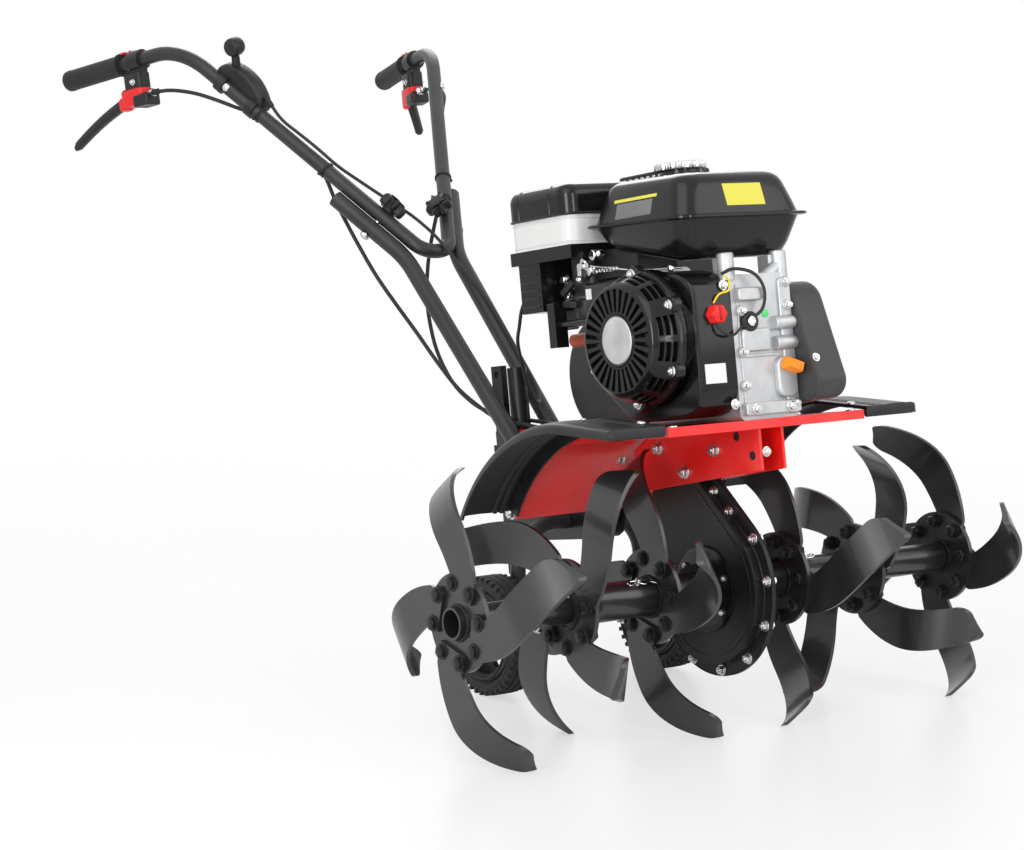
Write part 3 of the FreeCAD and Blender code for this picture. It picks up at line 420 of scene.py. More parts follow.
@dataclass(frozen=True)
class Metal(Finish):
    """Bare metal: cast with a pebbled skin, or drawn and turned with fine lines along one axis."""

    metallic: float = 1.0
    grain: float = 0.9
    grain_depth: float = 0.05
    stretch: tuple[float, float, float] = (1, 1, 1)

    @cache
    def material(self) -> bpy.types.Material:
        """Build the metal's nodes.

        Returns:
            The material.
        """
        graph = self.graph()
        patches, grain = graph.noise(25, 4), graph.noise(self.grain, 3, self.stretch)
        darker = tuple(channel * 0.8 for channel in self.colour)
        graph.feed(graph.surface, {
            "Base Color": graph.mix(patches.held(0.3, 0.7), darker, self.colour),
            "Roughness": grain * 0.15 + patches * 0.1 + (self.roughness - 0.12),
            "Metallic": self.metallic})
        graph.relief(grain, self.grain_depth, 0.5)
        return graph.owner


BLACK_PAINT = Paint("black_paint", "black_paint", (0.009, 0.009, 0.0095), 0.34, dust=0.01)
TINE_PAINT = Paint("tine_paint", "black_paint", (0.010, 0.010, 0.0105), 0.36, 0.45, dust=0.01, specular=0.5)
SATIN_BLACK = Paint("satin_black", "satin_black", (0.020, 0.020, 0.021), 0.4, peel=0.7, dust=0.012, specular=0.4)
GLOSS_BLACK = Paint("gloss_black", "gloss_black", (0.006, 0.006, 0.0065), 0.2, 0.25, dust=0.004, specular=0.2)
RED_PAINT = Paint("red_paint", "red_paint", (0.84, 0.013, 0.010), 0.24, 0.5, dust=0.03, specular=0.35)
FRAME_PAINT = Paint("frame_paint", "red_paint", (0.84, 0.013, 0.010), 0.26, 0.4, dust=0.03,
                    below=(0.010, 0.010, 0.0105), split=345)
BLACK_PLASTIC = Plastic("black_plastic", "black_plastic", (0.013, 0.013, 0.0135), 0.42)
FENDER_PLASTIC = Plastic("fender_plastic", "black_plastic", (0.012, 0.012, 0.0125), 0.38, 0.9, 0.05)
BELT_PLASTIC = Plastic("belt_cover_plastic", "gloss_black", (0.038, 0.039, 0.041), 0.42)
GRIP_RUBBER = Plastic("grip_rubber", "rubber", (0.020, 0.020, 0.020), 0.6, 0.8, 0.06)
TYRE_RUBBER = Plastic("tyre_rubber", "tyre", (0.020, 0.020, 0.020), 0.62, 0.6, 0.05)
WHITE_PLASTIC = Plastic("white_plastic", "white_plastic", (0.78, 0.78, 0.77), 0.3, wear=0.0, transmission=0.1)
ORANGE_PLASTIC = Plastic("orange_plastic", "orange_plastic", (0.95, 0.28, 0.015), 0.35)
CAP_RUBBER = Plastic("spark_cap_rubber", "orange_plastic", (0.42, 0.075, 0.02), 0.5)
RED_PLASTIC = Plastic("red_plastic", "red_plastic", (0.75, 0.02, 0.018), 0.3)
CAST_ALUMINIUM = Metal("cast_aluminium", "cast_aluminium", (0.56, 0.57, 0.58), 0.45, 0.7)
DARK_ALLOY = Metal("dark_alloy", "cast_aluminium", (0.06, 0.06, 0.062), 0.5, 0.4)
ZINC = Metal("zinc_plate", "bare_steel", (0.72, 0.72, 0.71), 0.26, 1.0, 0.4, 0.01)
CHROME = Metal("chrome_plate", "chrome", (0.82, 0.82, 0.82), 0.14, 1.0, 0.4, 0.01)
BARE_STEEL = Metal("bare_steel", "bare_steel", (0.60, 0.60, 0.61), 0.3, stretch=(1, 0.05, 1))
BADGE_SILVER = Metal("badge_silver", "chrome", (0.70, 0.70, 0.71), 0.36, 1.0, 0.5, 0.01)
LABEL_WHITE = Plastic("label_white", "white_plastic", (0.76, 0.76, 0.75), 0.4, grain_depth=0.004)
LABEL_GREY = Plastic("label_grey", "black_plastic", (0.16, 0.16, 0.16), 0.4, grain_depth=0.004)
LABEL_YELLOW = Plastic("label_yellow", "orange_plastic", (0.70, 0.65, 0.07), 0.35, grain_depth=0.004)
WIRE_YELLOW = Plastic("wire_yellow", "orange_plastic", (0.8, 0.62, 0.02), 0.4)
DOT_GREEN = Plastic("dot_green", "orange_plastic", (0.1, 0.75, 0.2), 0.4)

SLOT_FINISHES = {finish.slot: finish for finish in (
    BLACK_PAINT, SATIN_BLACK, GLOSS_BLACK, RED_PAINT, BLACK_PLASTIC, GRIP_RUBBER, TYRE_RUBBER, WHITE_PLASTIC,
    CAP_RUBBER, RED_PLASTIC, CAST_ALUMINIUM, CHROME, BARE_STEEL)}
NODE_FINISHES = {"rear_frame": FRAME_PAINT, "belt_cover": BELT_PLASTIC, "carburettor": DARK_ALLOY,
                 **{f"{node}_{side.word}": TINE_PAINT for side in Side
                    for node in ("tines_inner", "tines_middle", "tines_outer", "hub_sleeve", "hub_plates")}}


def dress_nodes() -> None:
    """Give every CAD node the finish of its slot in the record."""
    for part in frame["record"]["subparts"]:
        materials = frame["nodes"][part["node"]].data.materials
        materials.clear()
        materials.append(NODE_FINISHES.get(part["node"], SLOT_FINISHES[part["material_slot"]]).material())


# ---------------------------------------------------------------- shapes



def facing(spot: Spot, direction: Spot, turn: float = 0.0) -> Matrix:
    """Stand a shape's local Z along a direction.

    Args:
        spot: Where the shape's origin goes.
        direction: Where its Z points.
        turn: How far it is turned about that axis, in radians.

    Returns:
        The matrix from the shape's frame to the machine's.
    """
    heading = Vector(direction).normalized().to_track_quat("Z", "Y").to_matrix().to_4x4()
    return Matrix.Translation(Vector(spot)) @ heading @ Matrix.Rotation(turn, 4, "Z")


def turns(count: int) -> np.ndarray:
    """Give equally spaced angles round a full turn."""
    return np.linspace(0, 2 * math.pi, count, endpoint=False)


def circle(radius: float, steps: int, height: float = 0.0, turn: float = 0.0) -> list[Vector]:
    """Give points round the local Z axis."""
    angles = [turn + 2 * math.pi * step / steps for step in range(steps)]
    return [Vector((radius * math.cos(angle), radius * math.sin(angle), height)) for angle in angles]


def rounded_box(half_x: float, half_y: float, radius: float, steps: int = 5) -> list[tuple[float, float]]:
    """Outline a rectangle with round corners.

    Args:
        half_x: Half its width.
        half_y: Half its height.
        radius: Its corners' radius.
        steps: How many sides each corner has.

    Returns:
        The outline's points, counter-clockwise.
    """
    points = []
    for corner, (sign_x, sign_y) in enumerate(((1, 1), (-1, 1), (-1, -1), (1, -1))):
        for step in range(steps + 1):
            angle = math.pi / 2 * (corner + step / steps)
            points.append((sign_x * (half_x - radius) + radius * math.cos(angle),
                           sign_y * (half_y - radius) + radius * math.sin(angle)))
    return points


def hull_outline(circles: Sequence[tuple[float, float, float]], grow: float = 0.0, steps: int = 96
                 ) -> list[tuple[float, float]]:
    """Outline a band stretched round circles.

    Args:
        circles: Each circle's two coordinates and radius.
        grow: How much larger every radius is taken.
        steps: How many directions the outline is found in.

    Returns:
        The outline's points, counter-clockwise.
    """
    points = []
    for step in range(steps):
        angle = 2 * math.pi * step / steps
        across, up = math.cos(angle), math.sin(angle)
        a, b, radius = max(circles, key=lambda ring: ring[0] * across + ring[1] * up + ring[2])
        points.append((a + (radius + grow) * across, b + (radius + grow) * up))
    return points


def smooth_path(points: Sequence[Spot], parts: int = 8) -> list[Vector]:
    """Run a smooth line through points.

    Args:
        points: The points it passes.
        parts: How many steps it takes from one to the next.

    Returns:
        The line's points.
    """
    spots = [Vector(point) for point in points]
    spots = [spots[0] * 2 - spots[1], *spots, spots[-1] * 2 - spots[-2]]
    line = []
    for before, start, end, after in zip(spots, spots[1:], spots[2:], spots[3:]):
        for part in range(parts):
            t = part / parts
            line.append(0.5 * (2 * start + (end - before) * t + (2 * before - 5 * start + 4 * end - after) * t ** 2
                               + (3 * start - before - 3 * end + after) * t ** 3))
    return [*line, spots[-2]]


class Form:
    """A mesh in the making, in metres in the machine's own frame."""

    def __init__(self) -> None:
        """Start with nothing."""
        self.mesh = bmesh.new()

    def skin(self, rings: Sequence[Sequence[Spot]], place: Matrix = Matrix(), closed: bool = False
             ) -> list[list[bmesh.types.BMFace]]:
        """Skin rings of equally many points, one after another.

        Args:
            rings: The rings' points.
            place: The matrix that sets them down.
            closed: Whether the last ring meets the first; the end rings are filled where it does not.

        Returns:
            The faces between each ring and the next.
        """
        rows = [[self.mesh.verts.new(place @ Vector(spot)) for spot in ring] for ring in rings]
        pairs = list(zip(rows, rows[1:])) + ([(rows[-1], rows[0])] if closed else [])
        strips = []
        for first, second in pairs:
            count = len(first)
            strips.append([self.mesh.faces.new((first[i], first[(i + 1) % count], second[(i + 1) % count], second[i]))
                           for i in range(count)])
        if not closed:
            self.mesh.faces.new(rows[0][::-1])
            self.mesh.faces.new(rows[-1])
        return strips

    def lathe(self, profile: Sequence[tuple[float, float]], place: Matrix, steps: int = 32, closed: bool = False
              ) -> list[list[bmesh.types.BMFace]]:
        """Turn a profile about the local Z axis.

        Args:
            profile: Radius and height at each of its points.
            place: The matrix that sets it down.
            steps: How many sides it has.
            closed: Whether the profile closes on itself.

        Returns:
            The faces of each strip.
        """
        return self.skin([circle(radius, steps, height) for radius, height in profile], place, closed)

    def prism(self, outline: Sequence[tuple[float, float]], levels: Sequence[tuple[float, float]], place: Matrix
              ) -> "Form":
        """Raise an outline through levels.

        Args:
            outline: Its points in the local XY plane, counter-clockwise.
            levels: The height at each level and how far the outline is drawn in there.
            place: The matrix that sets it down.

        Returns:
            This form.
        """
        self.skin([[(*spot, height) for spot in drawn_in(outline, inset)] for height, inset in levels], place)
        return self

    def pad(self, half_x: float, half_y: float, radius: float, levels: Sequence[tuple[float, float]], place: Matrix
            ) -> None:
        """Raise a rectangle with round corners through levels."""
        self.prism(rounded_box(half_x, half_y, radius), levels, place)

    def tube(self, path: Sequence[Spot], radius: float | Callable[[float], float], steps: int = 12) -> "Form":
        """Run a round tube along a path.

        Args:
            path: The points of its middle line.
            radius: Its radius, or a function of the share of the path that gives it.
            steps: How many sides it has.

        Returns:
            This form.
        """
        spots = [Vector(spot) for spot in path]
        rings, normal = [], None
        for index, spot in enumerate(spots):
            ahead = (spots[min(index + 1, len(spots) - 1)] - spots[max(index - 1, 0)]).normalized()
            normal = ahead.orthogonal() if normal is None else normal - ahead * normal.dot(ahead)
            normal.normalize()
            side = ahead.cross(normal)
            size = radius(index / (len(spots) - 1)) if callable(radius) else radius
            rings.append([spot + normal * p.x + side * p.y for p in circle(size, steps)])
        self.skin(rings)
        return self

    def loop(self, path: Sequence[Spot], radius: float, steps: int = 8) -> "Form":
        """Run a round bead along a path that closes on itself.

        Args:
            path: The points of its middle line.
            radius: Its radius.
            steps: How many sides it has.

        Returns:
            This form.
        """
        spots = [Vector(spot) for spot in path]
        level = sum((a.cross(b) for a, b in zip(spots, spots[1:] + spots[:1])), Vector()).normalized()
        rings = []
        for index, spot in enumerate(spots):
            ahead = (spots[(index + 1) % len(spots)] - spots[index - 1]).normalized()
            side = ahead.cross(level).normalized()
            rings.append([spot + side * p.x + level * p.y for p in circle(radius, steps)])
        self.skin(rings, closed=True)
        return self

    def hexagon(self, spot: Spot, direction: Spot, across: float, height: float, washer: float = 0.0,
                stub: float = 1.2 * MM) -> "Form":
        """Put a hex head on a face, on its washer.

        Args:
            spot: The middle of its foot.
            direction: Where it points.
            across: Its width across the flats.
            height: Its height.
            washer: The washer's radius, or 0 for none.
            stub: How far the thread's end stands out of the head.

        Returns:
            This form.
        """
        place = facing(spot, direction, 0.3)
        foot = 0.0
        if washer:
            foot = 1.4 * MM
            self.lathe([(washer, 0), (washer, foot * 0.7), (washer - 0.4 * MM, foot)], place, 20)
        corner = across / math.sqrt(3)
        self.lathe([(corner, foot), (corner, foot + height * 0.82), (corner * 0.84, foot + height)], place, 6)
        if stub:
            self.lathe([(across * 0.28, foot + height), (across * 0.28, foot + height + stub),
                        (across * 0.22, foot + height + stub * 1.5)], place, 14)
        return self

    def sink(self, faces: Sequence[bmesh.types.BMFace], depth: Vector) -> None:
        """Push faces in, each group with its own walls.

        Args:
            faces: The faces.
            depth: How far and where they move.
        """
        new = bmesh.ops.extrude_face_region(self.mesh, geom=list(faces))["geom"]
        bmesh.ops.delete(self.mesh, geom=list(faces), context="FACES_ONLY")
        verts = [item for item in new if isinstance(item, bmesh.types.BMVert)]
        bmesh.ops.translate(self.mesh, verts=verts, vec=depth)

    def piece(self, name: str, finish: Finish, *, body: Body = Body.MACHINE, slot: str = "", bevel: float = 0.0,
              replaces: Sequence[str] = (), turn: float = 35.0) -> bpy.types.Object:
        """Finish the mesh as a piece of the machine.

        Args:
            name: The piece's name.
            finish: What it is made of.
            body: The body that it rides on.
            slot: Not used; meant as the record's material slot, if not the finish's own.
            bevel: The radius of its modelled edges, or 0.
            replaces: The CAD nodes that it stands for.
            turn: The sharpest turn between faces that still looks smooth, in degrees.

        Returns:
            The piece.
        """
        bmesh.ops.transform(self.mesh, matrix=STANDS[body], verts=self.mesh.verts)
        bmesh.ops.recalc_face_normals(self.mesh, faces=self.mesh.faces)
        mesh = bpy.data.meshes.new(name)
        self.mesh.to_mesh(mesh)
        self.mesh.free()
        mesh.shade_smooth()
        mesh.set_sharp_from_angle(angle=math.radians(turn))
        mesh.materials.append(finish.material())
        made = linked(name, mesh)
        if bevel:
            edges = made.modifiers.new("edges", "BEVEL")
            edges.width, edges.segments, edges.limit_method = bevel, 2, "ANGLE"
            edges.angle_limit = math.radians(turn)
            edges.harden_normals = True
        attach(made, body.value)
        if replaces:
            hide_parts(*replaces)
        return made


def linked(name: str, data: bpy.types.ID) -> bpy.types.Object:
    """Make an object and link it to the scene.

    Args:
        name: The object's name.
        data: Its mesh, light or camera.

    Returns:
        The object.
    """
    made = bpy.data.objects.new(name, data)
    bpy.context.scene.collection.objects.link(made)
    return made


def drawn_in(outline: Sequence[tuple[float, float]], inset: float) -> list[tuple[float, float]]:
    """Draw an outline in, or out where the inset is negative.

    Args:
        outline: Its points, counter-clockwise.
        inset: How far each side moves in.

    Returns:
        The new points, as many as before.
    """
    points = []
    for index, spot in enumerate(outline):
        before, after = outline[index - 1], outline[(index + 1) % len(outline)]
        first = Vector((spot[0] - before[0], spot[1] - before[1])).normalized()
        second = Vector((after[0] - spot[0], after[1] - spot[1])).normalized()
        bisector = Vector((-first.y - second.y, first.x + second.x))
        share = max(bisector.length_squared / 2, 0.3)
        points.append((spot[0] + bisector.x * inset / share, spot[1] + bisector.y * inset / share))
    return points


class Skin:
    """A surface in the machine's frame, for setting trim on it."""

    def __init__(self, node: str, piece: bpy.types.Object | None = None) -> None:
        """Read the faces of a node, or of the piece that stands for it.

        Args:
            node: The node's name.
            piece: The piece, where it has replaced the node.
        """
        mesh = (piece or frame["nodes"][node]).data
        back = STANCE.inverted()
        spots = [back @ vertex.co for vertex in mesh.vertices]
        self.tree = BVHTree.FromPolygons(spots, [list(face.vertices) for face in mesh.polygons])

    def meet(self, spot: Spot, direction: Spot) -> tuple[Vector, Vector]:
        """Find where a ray meets the surface.

        Args:
            spot: Where the ray starts.
            direction: Where it goes.

        Returns:
            The place and the surface's outward direction there.
        """
        ahead = Vector(direction).normalized()
        place, normal, _, _ = self.tree.ray_cast(Vector(spot), ahead)
        if place is None:
            place, normal, _, _ = self.tree.find_nearest(Vector(spot))
        return place, -normal if normal.dot(ahead) > 0 else normal

    def label(self, form: Form, spot: Spot, direction: Spot, size: tuple[float, float]) -> None:
        """Lay a thin label on the surface.

        Args:
            form: The form that takes the label.
            spot: A point in front of the label's middle.
            direction: Where the surface is from there.
            size: The label's width and height.
        """
        place = facing(spot, direction)
        columns, rows, lift = 9, 7, 0.5 * MM
        layers = []
        for above in (lift, -lift):
            layer = []
            for row in range(rows):
                for column in range(columns):
                    x, y = (column / (columns - 1) - 0.5) * size[0], (row / (rows - 1) - 0.5) * size[1]
                    hit, normal = self.meet(place @ Vector((x, y, 0)), direction)
                    layer.append(form.mesh.verts.new(hit + normal * above))
            layers.append(layer)
        cells = [(r * columns + c, r * columns + c + 1, (r + 1) * columns + c + 1, (r + 1) * columns + c)
                 for r in range(rows - 1) for c in range(columns - 1)]
        for layer in layers:
            for cell in cells:
                form.mesh.faces.new([layer[i] for i in cell])
        rim = ([*range(columns)] + [r * columns + columns - 1 for r in range(1, rows)]
               + [(rows - 1) * columns + c for c in range(columns - 2, -1, -1)]
               + [r * columns for r in range(rows - 2, 0, -1)])
        for first, second in zip(rim, rim[1:] + rim[:1]):
            form.mesh.faces.new((layers[0][first], layers[0][second], layers[1][second], layers[1][first]))


# ---------------------------------------------------------------- tine rotor

@dataclass(frozen=True)
class TineRotor:
    """Bolts, nuts, welds and locking pins of the tine axle."""

    hubs: tuple[float, ...] = mm(110, 245, 411)
    plate: float = 6 * MM
    tine: float = 5 * MM
    bolt_circle: float = 50 * MM
    bolts: int = 8
    first_bolt: float = -36.0
    across: float = 15 * MM
    sleeves: tuple[float, ...] = mm(25, 25, 20.5)
    pins: tuple[float, ...] = mm(143, 282)

    def build(self) -> None:
        """Build both halves of the rotor."""
        for side in Side:
            self.bolt_hubs(side)
            self.weld_hubs(side)
            self.pin_sleeves(side)

    def spots(self, across: float) -> list[Vector]:
        """Give the bolts' places round the axle.

        Args:
            across: Where along the axle they are.

        Returns:
            Their places.
        """
        angles = [math.radians(self.first_bolt + 360 / self.bolts * index) for index in range(self.bolts)]
        return [Vector((self.bolt_circle * math.cos(turn), across, self.bolt_circle * math.sin(turn)))
                for turn in angles]

    def bolt_hubs(self, side: Side) -> None:
        """Bolt the tines to the hub plates: heads outboard, nuts inboard.

        Args:
            side: Which side of the machine.
        """
        heads, nuts = Form(), Form()
        outward = side.out
        for hub in self.hubs:
            for spot in self.spots(side.value * (hub + self.plate / 2 + self.tine)):
                heads.hexagon(spot, outward, self.across, 4.5 * MM, 11 * MM, stub=0)
            for spot in self.spots(side.value * (hub - self.plate / 2)):
                nuts.hexagon(spot, -outward, self.across, 9 * MM, 10.5 * MM)
        heads.piece(f"tine_bolts_{side.word}", BLACK_PAINT, body=Body.ROTOR, bevel=0.5 * MM)
        nuts.piece(f"tine_nuts_{side.word}", BLACK_PAINT, body=Body.ROTOR, bevel=0.5 * MM)

    def weld_hubs(self, side: Side) -> None:
        """Run a weld bead round the sleeve on both faces of every hub.

        Args:
            side: Which side of the machine.
        """
        welds = Form()
        for hub, sleeve in zip(self.hubs, self.sleeves):
            for face in (-1, 1):
                across = side.value * (hub + face * self.plate / 2)
                steps = 84
                path = []
                for step in range(steps):
                    turn = 2 * math.pi * step / steps
                    reach = sleeve + (1.2 + 0.35 * math.sin(turn * 21)) * MM
                    path.append((reach * math.cos(turn), across, reach * math.sin(turn)))
                welds.loop(path, 2.6 * MM)
        welds.piece(f"hub_welds_{side.word}", BLACK_PAINT, body=Body.ROTOR)

    def pin_sleeves(self, side: Side) -> None:
        """Lock the sleeves with cross pins and their spring clips.

        Args:
            side: Which side of the machine.
        """
        pins, clips = Form(), Form()
        for place, sleeve in zip(self.pins, self.sleeves[1:]):
            along = Vector((0.5, 0, 0.866))
            middle = Vector((0, side.value * place, 0))
            reach = sleeve + 9 * MM
            pins.lathe([(3.6 * MM, -reach), (4 * MM, -reach + 1 * MM), (4 * MM, reach - 1 * MM), (3.6 * MM, reach)],
                       facing(middle, along), 16)
            pins.lathe([(6.5 * MM, reach), (6.5 * MM, reach + 2.5 * MM), (5.5 * MM, reach + 3.5 * MM)],
                       facing(middle, -along), 16)
            foot = middle + along * (sleeve + 5.5 * MM)
            way, up = side.out, along.cross(side.out)
            clips.tube([foot - way * 24 * MM, foot + way * 14 * MM], 1.1 * MM, 8)
            bend = [(14, 0), (19, 2.5), (17, 7), (9, 5.5), (2, 4.3), (-7, 8), (-16, 4), (-24, 8.5)]
            clips.tube(smooth_path([foot + way * a * MM + up * b * MM for a, b in bend]), 1.1 * MM, 8)
        pins.piece(f"sleeve_pins_{side.word}", ZINC, body=Body.ROTOR)
        clips.piece(f"pin_clips_{side.word}", CHROME, body=Body.ROTOR, slot="bare_steel")


# ---------------------------------------------------------------- chain case

@dataclass(frozen=True)
class ChainCase:
    """Trim of the pressed chain case: its ridges, bolts and shaft seals."""

    circles: tuple[tuple[float, float, float], ...] = mm((0, 0, 118), (-62, 162, 50))
    flange: float = 3 * MM
    shell: float = 17 * MM
    rim: float = 17 * MM
    bolt_inset: float = 8 * MM
    first_bolt: float = 66.0
    bolt_step: float = 31.0

    def build(self) -> None:
        """Build both sides."""
        spots = self.bolt_spots()
        for side in Side:
            out = side.out
            fasteners, trim = Form(), Form()
            for a, b in spots:
                fasteners.hexagon((a, side.value * self.flange, b), out, *mm(10, 5.5, 8))
            ridge = hull_outline(self.circles, -self.rim + 0.5 * MM, 144)
            trim.loop([(a, side.value * self.flange, b) for a, b in ridge], 2.4 * MM)
            edge = hull_outline(self.circles, -0.6 * MM, 144)
            trim.loop([(a, side.value * (self.flange - 0.4 * MM), b) for a, b in edge], 1.1 * MM)
            crown = hull_outline(self.circles, -self.rim - 11 * MM, 144)
            trim.loop([(a, side.value * (self.shell - 0.6 * MM), b) for a, b in crown], 1.4 * MM)
            place = facing((0, side.value * self.shell, 0), out)
            trim.lathe(mm((58, 0), (58, 2.4), (56, 3.2), (35, 3.2), (35, 0)), place, 64, closed=True)
            for step in range(6):
                turn = math.pi / 3 * step + 0.3
                fasteners.hexagon((46 * MM * math.cos(turn), side.value * (self.shell + 3.2 * MM),
                                   46 * MM * math.sin(turn)), out, 8 * MM, 4 * MM)
            trim.piece(f"chain_case_ridges_{side.word}", GLOSS_BLACK, slot="black_paint")
            fasteners.piece(f"chain_case_bolts_{side.word}", ZINC, bevel=0.3 * MM)

    def bolt_spots(self) -> list[tuple[float, float]]:
        """Space the flange bolts round the lower arc and up both straight edges.

        Returns:
            Their places along and up.
        """
        angles = [math.radians(self.first_bolt - self.bolt_step * index) for index in range(8)]
        ring = self.circles[0][2] - self.bolt_inset
        spots = [(ring * math.cos(turn), ring * math.sin(turn)) for turn in angles]
        return spots + [mm(18, 128), mm(-112, 60), mm(-110, 122)]


# ---------------------------------------------------------------- transport wheels

@dataclass(frozen=True)
class Wheel:
    """A treaded tyre on its moulded rim, and the rings of the rim."""

    side: Side
    radius: float = 85 * MM
    half_width: float = 23 * MM
    seat: float = 62 * MM
    lugs: int = 40

    def build(self) -> None:
        """Build the wheel round its axle, with the rim kept from the CAD model."""
        hub = joint_spot(f"wheel_{self.side.word}_spin")
        place = Matrix.Translation(hub) @ Matrix.Rotation(-math.pi / 2, 4, "X")
        tyre, half = Form(), self.half_width
        body = [(self.seat, -half * 0.62), (self.seat + 2 * MM, -half * 0.8), (self.seat + 6 * MM, -half * 0.97),
                (self.seat + 12 * MM, -half), (self.radius - 8 * MM, -half * 0.93),
                (self.radius - 3.5 * MM, -half * 0.72)]
        grooves = []
        for middle in (-0.5, 0.0, 0.5):
            grooves += [(self.radius - 1.6 * MM, half * (middle - 0.1)), (self.radius - 4 * MM, half * (middle - 0.05)),
                        (self.radius - 4 * MM, half * (middle + 0.05)), (self.radius - 1.6 * MM, half * (middle + 0.1))]
        profile = [*body, *grooves, *((radius, -height) for radius, height in reversed(body))]
        tyre.lathe(profile, place, 96, closed=True)
        for index in range(self.lugs):
            turn = Matrix.Rotation(2 * math.pi * index / self.lugs, 4, "Z")
            for face in (-1, 1):
                lug = [(self.radius - 11 * MM, -2.2 * MM), (self.radius - 2.2 * MM, -2.6 * MM),
                       (self.radius - 2.2 * MM, 2.6 * MM), (self.radius - 11 * MM, 2.2 * MM)]
                low, high = sorted((face * half * 0.62, face * half * 0.965))
                tyre.skin([[(*spot, low) for spot in lug], [(*spot, high) for spot in lug]], place @ turn)
        for face in (-1, 1):
            path = [place @ Vector((72 * MM * math.cos(a), 72 * MM * math.sin(a), face * half)) for a in turns(96)]
            tyre.loop(path, 0.9 * MM, 6)
        body_name = Body.WHEEL_RIGHT if self.side is Side.RIGHT else Body.WHEEL_LEFT
        tyre.piece(f"tread_tyre_{self.side.word}", TYRE_RUBBER, body=body_name, replaces=[f"tyre_{self.side.word}"])
        self.trim_rim(place, body_name)

    def trim_rim(self, place: Matrix, body: Body) -> None:
        """Add the rim's raised lip and the rings round its hub.

        Args:
            place: The wheel's frame.
            body: The wheel's body.
        """
        trim = Form()
        for face in (-1, 1):
            for radius, height, bead in mm((59, 23.6, 1.4), (25, 16, 1.5), (15, 24, 1.3)):
                path = [place @ Vector((radius * math.cos(a), radius * math.sin(a), face * height)) for a in turns(72)]
                trim.loop(path, bead, 8)
        trim.piece(f"rim_rings_{self.side.word}", BLACK_PLASTIC, body=body)


# ---------------------------------------------------------------- deck, guard and fenders

@dataclass(frozen=True)
class Chassis:
    """Fasteners of the deck and the side plates, and flat black discs of painted shade in the side plates' holes."""

    plate_bolts: tuple[tuple[float, float], ...] = mm((-17, 156), (49, 183), (-70, 190))
    plate_holes: tuple[tuple[float, float], ...] = mm((95, 198), (124, 172))
    deck_bolts: tuple[tuple[float, float], ...] = mm((-55, 150), (20, 152), (128, 150))

    def build(self) -> None:
        """Build the chassis trim."""
        bolts, dark = Form(), Form()
        for side in Side:
            out = side.out
            for a, b in self.plate_bolts:
                bolts.hexagon((a, side.value * 21 * MM, b), out, *mm(13, 7, 9.5))
            # Each hole in a side plate is drawn as a flat black disc: painted shade in place of the open hole.
            for a, b in self.plate_holes:
                dark.lathe(mm((6, -0.6), (6, 0.15)), facing((a, side.value * 21 * MM, b), out), 24)
            for a, b in self.deck_bolts:
                bolts.lathe(mm((6.5, 0), (6.2, 1.4), (4.4, 3), (1.6, 3.5)), on_top(a, side.value * b, 218 * MM), 20)
        bolts.hexagon(mm(140, -11, 176), (1, 0, 0), *mm(9, 4, 7))
        bolts.piece("chassis_bolts", ZINC, bevel=0.4 * MM)
        dark.piece("plate_hole_plugs", BLACK_PLASTIC)


